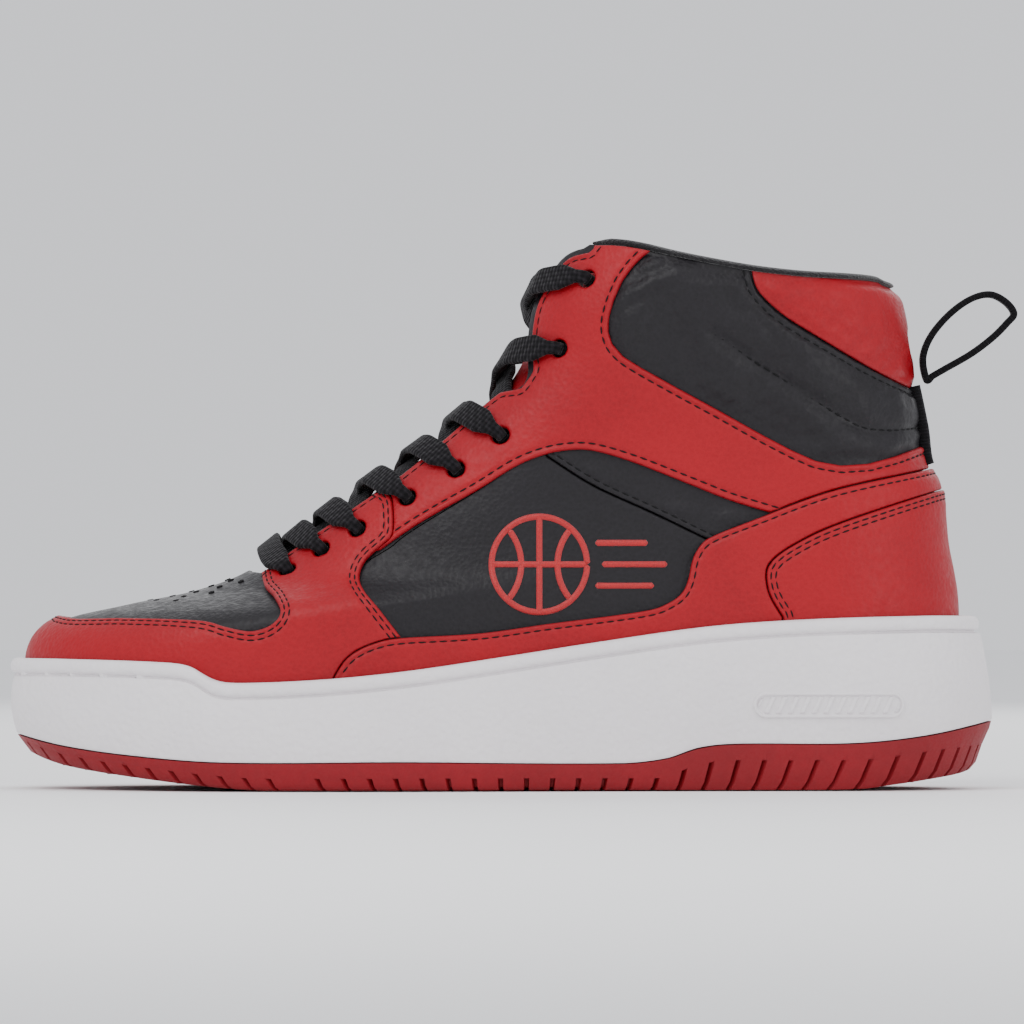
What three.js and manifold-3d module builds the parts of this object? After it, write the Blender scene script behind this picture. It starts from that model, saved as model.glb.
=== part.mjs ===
// Left basketball high top, EU 42, in millimetres: +Z up, toe at -X, heel at +X, lateral side at -Y.
// The origin is the bottom centre of the whole shoe, pull loop included.
// The upper is a set of shells around one form: level lines run from the front ridge to the back
// seam, and each level is an oval. A panel is a shell of that form cut to its outline in side view.
import * as THREE from "three";
import { mergeVertices } from "three/addons/utils/BufferGeometryUtils.js";
import Module from "manifold-3d";

const wasm = await Module();
wasm.setup();

// Driving dimensions
const GAP = 0.3; // between pieces that touch
const SKIN = 1.2; // base leather and eyestay band
const LEATHER = 1.4; // overlays that lie on the base
const BAND_BASE = GAP; // the layers' inner faces, out from the form
const MUDGUARD_BASE = 0.7;
const FOXING_BASE = 1.1;
const PATCH_BASE = 1.7;
const STIFFENER_OUT = -1.5; // the inner layers' outer faces
const STIFFENER = 0.9;
const LINING_OUT = -2.7;
const LINING = 0.9;
const LINING_SETBACK = 19; // from the throat's edge, clear of the eyelets
const COLLAR_FOAM = 5.0;
const TONGUE_OUT = -4.4;
const TONGUE_FOAM = 3.9;
const SOLE_FLOOR = 4.6; // outsole rubber under the cup
const CUP_FLOOR = 2.4;
const OUTSOLE_RIM = 8; // width of the outsole's raised rim
const ABOVE_OUTSOLE = 40; // a height clear of the outsole
const STROBEL = 1.6;
const SOCKLINER = 4.2;
const LACE_WIDTH = 8.4;
const LACE_THICKNESS = 1.2;
const EYELET_RADIUS = 2.8;
const EYELET_DEPTH = 7; // through every layer
const EYELET_SIDES = 10;
const LOOP_WIDTH = 11;
const WEBBING = 1.1;
const FAR = 90; // past the shoe's sides

// Front ridge and back seam of the form, one pair of points for each level, as [x, z]
const FRONT = [
  [-145.6, 26], [-147.9, 35], [-146.8, 43.5], [-142, 49.1], [-133, 52.9],
  [-116, 56.4], [-97, 60.4], [-80.5, 67], [-63.4, 80], [-46, 93],
  [-27.5, 106], [-10.8, 120], [-1, 132], [4.2, 148.2], [14.5, 167.5], [27.5, 183],
];
const BACK = [
  [128, 38], [131.6, 44], [133.4, 49], [133.6, 54], [133.2, 60],
  [132.2, 66.5], [130.8, 74], [130, 82], [129.2, 91], [125.6, 99.5],
  [124.4, 109], [123, 119], [121.2, 130], [119.4, 142], [116.5, 153.8], [113, 166],
];
// Lengths of the rounded front and back of each level
const FRONT_ROUND = [52, 55, 60, 72, 92, 112, 120, 105, 80, 62, 50, 42, 38, 38, 42, 46];
const BACK_ROUND = 38;
// Half-widths of the upper by [x, low down, high up], and of the sole by [x, half-width]
const UPPER_WIDTH = [
  [-150, 39, 39], [-120, 45, 44.5], [-90, 47.6, 46], [-65, 48, 44], [-40, 45.5, 40],
  [-10, 40.5, 34.5], [20, 37, 32], [50, 35.4, 31.5], [80, 35.2, 32], [110, 35, 32.5], [140, 34, 32],
];
const SOLE_WIDTH = [
  [-155, 47], [-120, 52.5], [-95, 55], [-70, 56], [-45, 54.5], [-15, 49.5],
  [15, 45.6], [45, 43.6], [75, 43.2], [105, 43.2], [147, 42.5],
];
// Sideways shift of the centre line, positive to the medial side
const CENTRE = [
  [-155, 8], [-120, 5.6], [-90, 1.7], [-60, -1.3], [-20, -3.6], [20, -3.8], [60, -2], [100, 0], [150, 0],
];
// Heights of the sole in side view
const LIP = [
  [-155, 39.6], [-137, 39.6], [-106.5, 38.8], [-98, 37.6], [-90.7, 33.5], [-84, 32.6], [-57.4, 33.7],
  [-32.2, 36.2], [-2.8, 40.5], [26.7, 45.1], [59.8, 49.7], [89.3, 51.8], [126, 52.8], [147, 52.4],
];
const OUTSOLE_TOP = [
  [-155, 17], [-138, 13.1], [-116.7, 10.3], [-88.7, 8.3], [-34.7, 8.4], [32.8, 8], [46.6, 9.5],
  [56.1, 12.6], [66.6, 13.8], [103.4, 14], [126, 16.3], [148, 20.8],
];
const GROUND = [
  [-155, 13], [-149, 10.8], [-136.6, 7], [-114, 3.6], [-91, 1], [-77.6, 0.1], [-60, 0],
  [90, 0], [106.4, 0.3], [112.3, 1], [128.2, 3.2], [138.9, 5.3], [147, 9.5],
];
// Front and back ends of the sole, by level, as [front x, back x, inset of the sides]
const CUP_ENDS = {
  outsoleBottom: [-147, 141, 4],
  outsoleTop: [-152.4, 146.9, 0.8],
  middle: [-154.2, 145.8, 0],
  groove: [-153.2, 143.2, 1.6],
  lip: [-153.9, 142.4, 1.2],
};
const GROOVE_DEPTH = 5; // below the lip's top edge
const LIP_ROUND = 2.4;
const CUP_LEVELS = 5; // levels of the form that reach above the lip
const SOLE_FRONT_ROUND = 62;
const SOLE_BACK_ROUND = 44;

// Eyelet centres on the lateral side, from the toe up, as [x, z]
const EYELETS = [
  [-68, 65.5], [-57.5, 72.2], [-46.6, 78.6], [-31.8, 88.4], [-17, 97], [-3.4, 107.3], [14.6, 134], [23, 155],
];

const smooth = (t) => {
  const s = Math.min(1, Math.max(0, t));
  return s * s * (3 - 2 * s);
};

// Smooth curve through rows of [x, value, ...], read at x
function along(rows, x, column = 1) {
  let i = rows.findIndex((row) => row[0] > x) - 1;
  if (i < 0) i = x < rows[0][0] ? 0 : rows.length - 2;
  return hermite(rows, i, (x - rows[i][0]) / (rows[i + 1][0] - rows[i][0]), column);
}

function hermite(rows, i, t, column) {
  const at = (k) => rows[Math.min(rows.length - 1, Math.max(0, k))];
  const slope = (k) => {
    const run = at(k + 1)[0] - at(k - 1)[0];
    return run ? (at(k + 1)[column] - at(k - 1)[column]) / run : 0;
  };
  const run = rows[i + 1][0] - rows[i][0];
  const s = Math.min(1, Math.max(0, t));
  const h = s * s * (3 - 2 * s);
  const ease = (s * (1 - s) * (1 - s) * slope(i) - s * s * (1 - s) * slope(i + 1)) * run;
  return rows[i][column] * (1 - h) + rows[i + 1][column] * h + ease;
}

// Value of a list of numbers or points at a fractional level
function levelOf(list, level) {
  const i = Math.min(list.length - 2, Math.max(0, Math.floor(level)));
  const t = level - i;
  const at = (k) => list[Math.min(list.length - 1, Math.max(0, k))];
  const mix = (a, b, c, d) =>
    b + 0.5 * t * (c - a + t * (2 * a - 5 * b + 4 * c - d + t * (3 * (b - c) + d - a)));
  if (typeof list[0] === "number") return mix(at(i - 1), at(i), at(i + 1), at(i + 2));
  return [0, 1].map((k) => mix(at(i - 1)[k], at(i)[k], at(i + 1)[k], at(i + 2)[k]));
}

function upperHalfWidth(x, z) {
  const low = along(UPPER_WIDTH, x, 1);
  const high = along(UPPER_WIDTH, x, 2);
  return low + (high - low) * smooth((z - 45) / 55) + 4.5 * smooth((z - 105) / 50);
}

// Points around a level, as fractions of the way: the front round, a side, the back round
const FRONT_STEPS = 6;
const SIDE_STEPS = 4;
const BACK_STEPS = 4;
const AROUND = 2 * (FRONT_STEPS + SIDE_STEPS + BACK_STEPS);

// Place on an oval from front to back at step k: [x, fraction of the half-width, side]
function ovalStep(k, front, back, frontRound, backRound) {
  const side = k <= AROUND / 2 ? 1 : -1;
  const step = k <= AROUND / 2 ? k : AROUND - k;
  if (step <= FRONT_STEPS) {
    const angle = (step / FRONT_STEPS) * (Math.PI / 2);
    return [front + frontRound * (1 - Math.cos(angle)), Math.sin(angle), side];
  }
  const start = front + frontRound;
  const end = back - backRound;
  if (step <= FRONT_STEPS + SIDE_STEPS) {
    return [start + ((end - start) * (step - FRONT_STEPS)) / SIDE_STEPS, 1, side];
  }
  const angle = ((AROUND / 2 - step) / BACK_STEPS) * (Math.PI / 2);
  return [back - backRound * (1 - Math.cos(angle)), Math.sin(angle), side];
}

function formPoint(level, k) {
  const [frontX, frontZ] = levelOf(FRONT, level);
  const [backX, backZ] = levelOf(BACK, level);
  const round = levelOf(FRONT_ROUND, level);
  const [x, part, side] = ovalStep(k, frontX, backX, round, BACK_ROUND);
  const z = frontZ + ((backZ - frontZ) * (x - frontX)) / (backX - frontX);
  return new THREE.Vector3(x, along(CENTRE, x) + side * part * upperHalfWidth(x, z), z);
}

function formNormal(level, k) {
  const up = formPoint(level + 0.05, k).sub(formPoint(level - 0.05, k));
  const around = formPoint(level, k + 0.05).sub(formPoint(level, k - 0.05));
  return around.cross(up).normalize().negate();
}

// Closed mesh from rings of equal length. With closeEnds, fans close the first and last ring;
// without, the last ring joins the first. From ring turnAt on, the facets' diagonals lean the other
// way, so that the two faces of a shell are faceted alike.
function loft(rings, closeEnds, turnAt = rings.length) {
  const count = rings[0].length;
  const points = rings.flat();
  const index = [];
  const bands = closeEnds ? rings.length - 1 : rings.length;
  for (let r = 0; r < bands; r++) {
    const next = (r + 1) % rings.length;
    for (let k = 0; k < count; k++) {
      const a = r * count + k;
      const b = r * count + ((k + 1) % count);
      const c = next * count + k;
      const d = next * count + ((k + 1) % count);
      if (r < turnAt) index.push(a, b, c, b, d, c);
      else index.push(a, b, d, a, d, c);
    }
  }
  if (closeEnds) {
    for (const r of [0, rings.length - 1]) {
      const half = count / 2;
      for (let k = 0; k < half; k++) {
        const a = r * count + k;
        const b = r * count + k + 1;
        const c = r * count + ((count - k) % count);
        const d = r * count + count - k - 1;
        const quad = r === 0 ? [a, c, b, b, c, d] : [a, b, c, b, d, c];
        for (let q = 0; q < 6; q += 3) {
          const three = quad.slice(q, q + 3);
          if (new Set(three).size === 3) index.push(...three);
        }
      }
    }
  }
  const geometry = new THREE.BufferGeometry().setFromPoints(points);
  geometry.setIndex(index);
  return geometry;
}

// three.js geometry to a solid, and back
function solid(geometry) {
  const bare = geometry.clone();
  bare.deleteAttribute("normal");
  bare.deleteAttribute("uv");
  const merged = mergeVertices(bare, 1e-4);
  const made = new wasm.Manifold(
    new wasm.Mesh({
      numProp: 3,
      vertProperties: merged.attributes.position.array,
      triVerts: new Uint32Array(merged.index.array),
    }),
  );
  if (made.volume() > 0) return made;
  const flipped = new Uint32Array(merged.index.array).reverse();
  return new wasm.Manifold(
    new wasm.Mesh({ numProp: 3, vertProperties: merged.attributes.position.array, triVerts: flipped }),
  );
}

function geometryOf(made) {
  const mesh = made.getMesh();
  const geometry = new THREE.BufferGeometry();
  geometry.setAttribute("position", new THREE.BufferAttribute(mesh.vertProperties, mesh.numProp));
  geometry.setIndex(new THREE.BufferAttribute(mesh.triVerts, 1));
  geometry.computeVertexNormals();
  return geometry;
}

// Shell of the form from inner to outer, each a distance out from it, or a function of the point
function shell(inner, outer, bottom = 0, top = FRONT.length - 1) {
  const offset = (level, distance) =>
    Array.from({ length: AROUND }, (_, k) => {
      const point = formPoint(level, k);
      const d = typeof distance === "function" ? distance(point) : distance;
      return point.addScaledVector(formNormal(level, k), d);
    });
  const levels = Array.from({ length: top - bottom + 1 }, (_, i) => bottom + i);
  const outside = levels.map((level) => offset(level, outer));
  const inside = levels.reverse().map((level) => offset(level, inner));
  return solid(loft([...outside, ...inside], false, levels.length));
}

// Outline in side view: stretches of points, each smoothed when it has more than two
function outline(...stretches) {
  const points = stretches.flatMap((stretch) => {
    const raw = stretch.map(([x, z]) => new THREE.Vector2(x, z));
    return raw.length > 2 ? new THREE.SplineCurve(raw).getPoints(raw.length) : raw;
  });
  return points.filter((p, i) => p.distanceTo(points[(i + 1) % points.length]) > 0.05);
}

// The outline moved out by a distance, or in when it is negative
function grown(points, distance) {
  const turn = Math.sign(THREE.ShapeUtils.area(points));
  return points.map((p, i) => {
    const before = points[(i + points.length - 1) % points.length];
    const after = points[(i + 1) % points.length];
    const a = p.clone().sub(before).normalize();
    const b = after.clone().sub(p).normalize();
    const out = new THREE.Vector2(a.y + b.y, -a.x - b.x).normalize();
    const stretch = 1 / Math.max(0.5, Math.sqrt((1 + a.dot(b)) / 2));
    return p.clone().addScaledVector(out, turn * distance * stretch);
  });
}

// Straight prism of a side-view outline between two y
function prism(points, from = -FAR, to = FAR) {
  const made = new THREE.ExtrudeGeometry(new THREE.Shape(points), { depth: to - from, bevelEnabled: false });
  made.rotateX(Math.PI / 2);
  made.translate(0, to, 0);
  return solid(made);
}

const group = new THREE.Group();
group.name = "basketball_high_top";

const RED_LEATHER = { color: 0xb4262c, roughness: 0.5, metalness: 0 };
const BLACK_LEATHER = { color: 0x1d1a1f, roughness: 0.5, metalness: 0 };
const BLACK_TEXTILE = { color: 0x121114, roughness: 0.95, metalness: 0 };
const WHITE_RUBBER = { color: 0xe2dee0, roughness: 0.6, metalness: 0 };
const RED_RUBBER = { color: 0xa92a30, roughness: 0.65, metalness: 0 };
const FOAM = { color: 0xd8d2c4, roughness: 0.95, metalness: 0 };
const BOARD = { color: 0xb9a887, roughness: 0.9, metalness: 0 };

function add(name, made, look) {
  const geometry = made.isBufferGeometry ? made : geometryOf(made);
  const mesh = new THREE.Mesh(geometry, new THREE.MeshStandardMaterial(look));
  mesh.name = name;
  group.add(mesh);
  return mesh;
}

const SIDES = [
  ["lateral", -1],
  ["medial", 1],
];

// One side of a solid, up to the seam on the centre line
function half(made, side) {
  const box = new THREE.BoxGeometry(4 * FAR, FAR, 4 * FAR);
  box.translate(0, side * (FAR / 2 + GAP / 2), 0);
  return made.intersect(solid(box));
}

// ---- Sole unit ----

function soleRing([front, back, inset], height, shrink = 0) {
  return Array.from({ length: AROUND }, (_, k) => {
    const [x, part, side] = ovalStep(k, front + shrink, back - shrink, SOLE_FRONT_ROUND, SOLE_BACK_ROUND);
    const y = along(CENTRE, x) + side * part * (along(SOLE_WIDTH, x) - inset - shrink);
    return new THREE.Vector3(x, y, height(x));
  });
}

const ground = (x) => Math.max(0, along(GROUND, x));
const outsoleTop = (x) => along(OUTSOLE_TOP, x);
const lip = (x) => along(LIP, x);
const footbed = (x) => 26 + (12 * (x + 146)) / 274;

// Room that the layers of the upper take outside the form, by x
const layersAt = (x) =>
  MUDGUARD_BASE + LEATHER + 0.4 * smooth((x + 75) / 15) + 0.6 * smooth((x - 65) / 12);

// Solid inside the cup: the form's lower levels, grown sideways and carried straight down
function cupFill(distance, bottom, top) {
  const ring = (level, height) =>
    Array.from({ length: AROUND }, (_, k) => {
      const point = formPoint(level, k);
      const d = typeof distance === "function" ? distance(point.x) : distance;
      point.addScaledVector(formNormal(level, k), d);
      if (height) point.z = height(point.x);
      return point;
    });
  const rings = [ring(0, bottom)];
  if (top) rings.push(ring(0, top));
  else for (let level = 0; level <= CUP_LEVELS; level += 1) rings.push(ring(level));
  return solid(loft(rings, true));
}

// The cup's floor fills the outsole's recess and lies over its rim
const cupFloorTop = (x) => Math.max(outsoleTop(x), recessFloor(x)) + GAP + CUP_FLOOR;

function makeOutsole() {
  const rim = CUP_ENDS.outsoleBottom;
  const body = loft([soleRing(rim, ground), soleRing(CUP_ENDS.outsoleTop, outsoleTop)], true);
  const recess = loft(
    [soleRing(rim, recessFloor, OUTSOLE_RIM), soleRing(rim, () => ABOVE_OUTSOLE, OUTSOLE_RIM)],
    true,
  );
  add("outsole", solid(body).subtract(solid(recess)), RED_RUBBER);
}

// The floor of the outsole's recess follows the toe and heel as they rise
const recessFloor = (x) => Math.max(SOLE_FLOOR, ground(x) + SOLE_FLOOR - 1);

function makeCupsole() {
  const base = (x) => outsoleTop(x) + GAP;
  const [front, back, inset] = CUP_ENDS.lip;
  const wall = loft(
    [
      soleRing(CUP_ENDS.outsoleTop, base),
      soleRing(CUP_ENDS.middle, (x) => base(x) + 0.45 * (lip(x) - base(x))),
      soleRing(CUP_ENDS.groove, (x) => lip(x) - GROOVE_DEPTH),
      soleRing(CUP_ENDS.lip, (x) => lip(x) - LIP_ROUND),
      soleRing([front + LIP_ROUND * 0.6, back - LIP_ROUND * 0.6, inset + LIP_ROUND * 0.6], lip),
    ],
    true,
  );
  const floor = loft(
    [
      soleRing(CUP_ENDS.outsoleBottom, (x) => recessFloor(x) + GAP, OUTSOLE_RIM + GAP),
      soleRing(CUP_ENDS.outsoleBottom, (x) => Math.max(base(x), recessFloor(x) + 2) + 2, OUTSOLE_RIM + GAP),
    ],
    true,
  );
  const pocket = cupFill((x) => layersAt(x) + GAP, cupFloorTop);
  add("cupsole", solid(wall).add(solid(floor)).subtract(pocket), WHITE_RUBBER);
}

function makeFootbed() {
  const strobelTop = (x) => footbed(x) - GAP;
  const strobelBottom = (x) => strobelTop(x) - STROBEL;
  const wedge = cupFill(layersAt, (x) => cupFloorTop(x) + GAP, (x) => strobelBottom(x) - GAP);
  add("midsole_wedge", wedge, FOAM);
  add("strobel_board", cupFill(0, strobelBottom, strobelTop), BOARD);
  const inside = LINING_OUT - LINING - GAP;
  const liner = cupFill(inside, (x) => footbed(x) + GAP, (x) => footbed(x) + GAP + SOCKLINER);
  add("sockliner", liner, BLACK_TEXTILE);
}

// ---- Outlines of the upper in side view, as [x, z] ----

const THROAT = [
  [-76.8, 65.9], [-66.7, 73.5], [-49.1, 85.6], [-33.4, 96.5], [-21.8, 106.1], [-10.1, 116.3], [-4, 121.2],
];
const FLAP_FRONT = [
  [2.5, 122.4], [4.4, 127], [4.4, 136.7], [6.6, 148.2], [12.9, 159.2], [17.5, 163.6], [23, 165.2],
];
const MUDGUARD = outline(
  [[-175, 0], [-175, 58], [-141, 53.4]],
  [[-139.3, 52.9], [-133.3, 52.1], [-95.3, 51.8], [-87.2, 49.8], [-80.2, 48.3], [-72.6, 50.6], [-70.6, 54.8],
    [-72.6, 59.6], [-76.8, 65.9]],
  [[-79, 71], [-54, 88], [-43, 95]],
  [[-41.1, 91.5], [-37.2, 87.9], [-37, 77.6], [-45.1, 70.4], [-46.9, 65], [-42, 57], [-33.9, 46.5]],
  [[-33.9, 46.4], [-33.9, 0]],
);
const FOXING = outline(
  [[-54.3, 0], [-54.3, 34]],
  [[-54.3, 34.1], [-51.2, 39], [-44, 44], [-33.9, 46], [-10.1, 47.4], [11, 50.5], [39, 53.9], [47.1, 56.3],
    [52.6, 61.5], [54.3, 70.1], [58.5, 75.5], [73.9, 82.3], [97.2, 90.8], [126.6, 97.4], [150, 102.5]],
  [[150.1, 102], [150.1, 0]],
);
const PATCH = outline(
  [[82.2, 40], [82.2, 52.5]],
  [[82.1, 52.6], [77.8, 60], [77.5, 67.6], [84, 73.3], [101.5, 81.4], [132.8, 91.4], [150, 95.4]],
  [[150.1, 95], [150.1, 40]],
);
const BAND = outline(
  [[-60, 76], [-52, 92], [-12, 128], [-6, 180], [23, 180]],
  [[42, 168], [42, 164.2]],
  [[42, 164.1], [36, 159], [31.6, 152], [28.8, 141.2], [30, 135.4], [39, 128.1], [63.5, 114.7], [85.6, 102.8],
    [100, 98.6], [117.5, 101.5], [150, 112]],
  [[150, 96], [79.4, 82]],
  [[79.3, 83.9], [54.3, 92.6], [37.7, 99.1], [25.8, 102.7], [18.7, 103.3], [10.4, 102.1], [-10.7, 91.4],
    [-41.5, 72.6]],
);
const COLLAR_BACK = outline(
  [[72.4, 175], [72.4, 158.9]],
  [[72.4, 158.8], [76.1, 149.7], [91.7, 138.3], [110.6, 127.7], [150, 112]],
  [[150, 175]],
);
const ABOVE_TOPLINE = outline(
  [[-10, 169.4], [17.3, 165.96], [117.5, 153.4], [150, 149.3]],
  [[150, 220], [-10, 220]],
);
const BINDING = outline(
  [[16, 166.45], [117.5, 153.7], [150, 149.6]],
  [[150, 151.4], [117.5, 155.5], [24, 167.3], [16, 168.3]],
);
// Everything in front of the throat: the opening over the tongue
const THROAT_OPEN = outline(THROAT, FLAP_FRONT, [[23.2, 230], [-60, 230], [-112, 90], [-80, 66.4]]);
// Where the hidden edges of the base leather meet, under the eyestay and the band
const BACKING_EDGE = [[-37, 73.6], [-30, 79], [-5, 94.5], [16, 111], [27, 120]];
const BAND_MIDDLE = [[27, 120], [60, 101], [85, 91], [110, 93], [150, 104]];
const FLAP_EDGE = [[27, 120], [23.4, 134], [24.4, 148], [31, 158], [37, 170]];
const VAMP = outline([[-175, 0], [-175, 120], [-60, 120], [-37.4, 100], [-37.4, 74], [-38, 60], [-38, 0]]);
const BACKING = outline([[-60, 120], [-60, 60]], BACKING_EDGE, FLAP_EDGE.slice(1), [[-20, 180]]);
const QUARTER = outline([[-60, 0], [-60, 60]], BACKING_EDGE, BAND_MIDDLE.slice(1), [[150, 0]]);
const QUARTER_BAND = outline(
  [[10.4, 101.5], [24.5, 92.6], [42.3, 84.4], [59.5, 76.1]],
  [[90, 62], [90, 130], [0, 130]],
);
const ANKLE = outline(BAND_MIDDLE.slice().reverse(), FLAP_EDGE.slice(1), [[37, 220], [150, 220]]);
const TOE_PUFF = outline([[-175, 30], [-175, 100], [-122, 100]], [[-122, 99], [-113, 52], [-118, 30]]);
const COUNTER = outline([[68, 39]], [[68, 40], [72, 66], [96, 82], [150, 92]], [[150, 39]]);
const COLLAR_FOAM_AREA = outline([[44, 104], [46, 220], [150, 220], [150, 107]]);
const LINING_SEAM = outline([[-14, 0], [-14, 60], [-26, 85], [-26, 150]], [[-175, 150], [-175, 0]]);
const TONGUE = outline(
  [[-82, 57], [-70, 60], [-44, 74], [-18, 92], [1, 111], [13, 128], [20, 145], [25, 160]],
  [[30, 167], [32, 169.4], [10, 169.4], [-20, 169.4], [-120, 100], [-86, 58]],
);

const cut = (made, points) => made.subtract(prism(grown(points, GAP)));

// ---- Eyelets ----

// Level and step of a side-view place in the rounded front of the form
function formPlace([x, z]) {
  let low = 0;
  let high = FRONT.length - 1;
  const zAt = (level) => {
    const [frontX, frontZ] = levelOf(FRONT, level);
    const [backX, backZ] = levelOf(BACK, level);
    return frontZ + ((backZ - frontZ) * (x - frontX)) / (backX - frontX);
  };
  for (let i = 0; i < 40; i++) {
    const middle = (low + high) / 2;
    if (zAt(middle) < z) low = middle;
    else high = middle;
  }
  const way = (x - levelOf(FRONT, low)[0]) / levelOf(FRONT_ROUND, low);
  return [low, (Math.acos(1 - Math.min(1, way)) / (Math.PI / 2)) * FRONT_STEPS];
}

// Place off the form: distance out from it at a level and step, where minus steps are lateral
function offForm([level, step], distance) {
  return formPoint(level, step).addScaledVector(formNormal(level, step), distance);
}

const EYELET_PLACES = EYELETS.map(formPlace);

function makeHoles() {
  const tools = [];
  for (const [level, step] of EYELET_PLACES) {
    for (const side of [-1, 1]) {
      const tool = new THREE.CylinderGeometry(EYELET_RADIUS, EYELET_RADIUS, EYELET_DEPTH, EYELET_SIDES);
      const turn = new THREE.Quaternion().setFromUnitVectors(
        new THREE.Vector3(0, 1, 0),
        formNormal(level, side * step),
      );
      const centre = offForm([level, side * step], 0);
      tool.applyQuaternion(turn);
      tool.translate(centre.x, centre.y, centre.z);
      tools.push(solid(tool));
    }
  }
  return tools.reduce((a, b) => a.add(b));
}

// ---- Upper ----

const holes = makeHoles();
const open = (made) => made.subtract(prism(THROAT_OPEN)).subtract(prism(ABOVE_TOPLINE));
const within = (made, points) => made.intersect(prism(points));

function makeBaseLeather() {
  const base = open(shell(-SKIN, 0));
  add("vamp", within(base, VAMP).subtract(holes), BLACK_LEATHER);
  const quarter = cut(within(base, QUARTER), VAMP);
  const backing = cut(within(base, BACKING), VAMP).subtract(holes);
  const ankle = cut(within(base, ANKLE), COLLAR_BACK);
  const seamed = {
    quarter: cut(quarter, QUARTER_BAND),
    quarter_band: within(quarter, QUARTER_BAND),
    eyestay_backing: cut(backing, QUARTER),
    ankle_panel: cut(cut(ankle, QUARTER), BACKING),
  };
  for (const [piece, made] of Object.entries(seamed)) {
    for (const [name, side] of SIDES) add(piece + "_" + name, half(made, side), BLACK_LEATHER);
  }
  add("collar_back_panel", within(base, COLLAR_BACK), RED_LEATHER);
}

function makeOverlays() {
  const mudguard = open(shell(MUDGUARD_BASE, MUDGUARD_BASE + LEATHER, 0, 11));
  add("toe_overlay", cut(within(mudguard, MUDGUARD), FOXING).subtract(holes), RED_LEATHER);
  const band = within(open(shell(BAND_BASE, BAND_BASE + SKIN, 3)), BAND).subtract(holes);
  const eyestay = cut(cut(band, MUDGUARD), FOXING);
  const foxing = cut(within(shell(FOXING_BASE, FOXING_BASE + LEATHER, 0, 11), FOXING), PATCH);
  for (const [name, side] of SIDES) {
    add("eyestay_" + name, half(eyestay, side), RED_LEATHER);
    add("foxing_" + name, half(foxing, side), RED_LEATHER);
  }
  add("heel_patch", within(shell(PATCH_BASE, PATCH_BASE + LEATHER, 0, 10), PATCH), RED_LEATHER);
}

// The lining stands further in behind the collar's foam
const collarDepth = (point) => COLLAR_FOAM * smooth((point.x - 34) / 16) * smooth((point.z - 92) / 20);
const liningOut = (point) => LINING_OUT - collarDepth(point);
const liningIn = (point) => liningOut(point) - LINING;

function makeInnerUpper() {
  const stiffener = shell(STIFFENER_OUT - STIFFENER, STIFFENER_OUT, 0, 10);
  add("toe_puff", within(stiffener, TOE_PUFF), BOARD);
  add("heel_counter", within(stiffener, COUNTER), BOARD);
  const lining = open(shell(liningIn, liningOut)).subtract(prism(grown(THROAT_OPEN, LINING_SETBACK)));
  add("vamp_lining", within(lining, LINING_SEAM), BLACK_TEXTILE);
  add("collar_lining", cut(lining, LINING_SEAM), BLACK_TEXTILE);
  const foam = open(shell((point) => liningOut(point) + GAP, STIFFENER_OUT, 9));
  add("collar_foam", within(foam, COLLAR_FOAM_AREA), FOAM);
  const rim = shell((point) => liningIn(point) - GAP, BAND_BASE + SKIN - 0.6, 13);
  add("topline_binding", within(rim, BINDING).subtract(prism(THROAT_OPEN)), BLACK_TEXTILE);
}

function makeTongue() {
  const face = TONGUE_OUT - LINING;
  const foam = face - GAP - TONGUE_FOAM;
  add("tongue_face", within(shell(face, TONGUE_OUT, 4), TONGUE), RED_LEATHER);
  add("tongue_foam", within(shell(foam, face - GAP, 4), grown(TONGUE, -1.5)), FOAM);
  add("tongue_lining", within(shell(foam - GAP - LINING, foam - GAP, 4), TONGUE), BLACK_TEXTILE);
}

// ---- Pull loop and the webbing down the back ----

// Middle of the loop's webbing in side view, round from the neck
const LOOP = [
  [126.9, 124.9], [125.7, 131.4], [128, 138], [133.5, 144.7], [140, 149.5], [146, 151.1], [150.8, 149],
  [153.6, 145.3], [151.5, 142.3], [147, 137.8], [140.5, 132.9], [132.5, 128.3], [128.7, 126.1],
];
const WEBBING_BASE = BAND_BASE + SKIN + GAP;

function makeWebbing() {
  const middle = outline(LOOP);
  const sides = [-LOOP_WIDTH / 2, LOOP_WIDTH / 2];
  const loop = prism(grown(middle, WEBBING / 2), ...sides);
  const gap = prism(grown(middle, -WEBBING / 2), ...sides.map((y) => 2 * y));
  add("pull_loop", loop.subtract(gap), BLACK_TEXTILE);
  const down = outline([[100, 90], [100, 125.2], [150, 125.2], [150, 90]]);
  const strip = shell(WEBBING_BASE, WEBBING_BASE + WEBBING, 7, 13);
  const narrow = prism(down, -LOOP_WIDTH / 2, LOOP_WIDTH / 2);
  add("back_webbing", cut(strip.intersect(narrow), FOXING), BLACK_TEXTILE);
}

// ---- Lace ----

const LACE_OVER = MUDGUARD_BASE + LEATHER + 2.5 * GAP + LACE_THICKNESS / 2;
const LACE_UNDER = -SKIN - 3.6 * GAP - LACE_THICKNESS / 2;
const LACE_INSIDE = LINING_OUT - LINING - 4.5 * GAP - LACE_THICKNESS / 2;
const AGLET_RADIUS = 1.6;
const AGLET_LENGTH = 20;
const LACE_GATHERED = 4.4; // width beside an eyelet
const LACE_IN_HOLE = 3.8; // width where it gathers to pass an eyelet
const CROSSING = { upper: -0.6, lower: -2.6 }; // heights off the form where two bars cross
const TAIL_WIDTH = 6;
// Tails inside the shoe, from the last eyelets down beside the tongue, as [x, z]
const TAIL = [[26, 150], [29.5, 142], [30, 128], [26, 112], [24, 96], [22, 80], [20.5, 66]];

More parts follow.
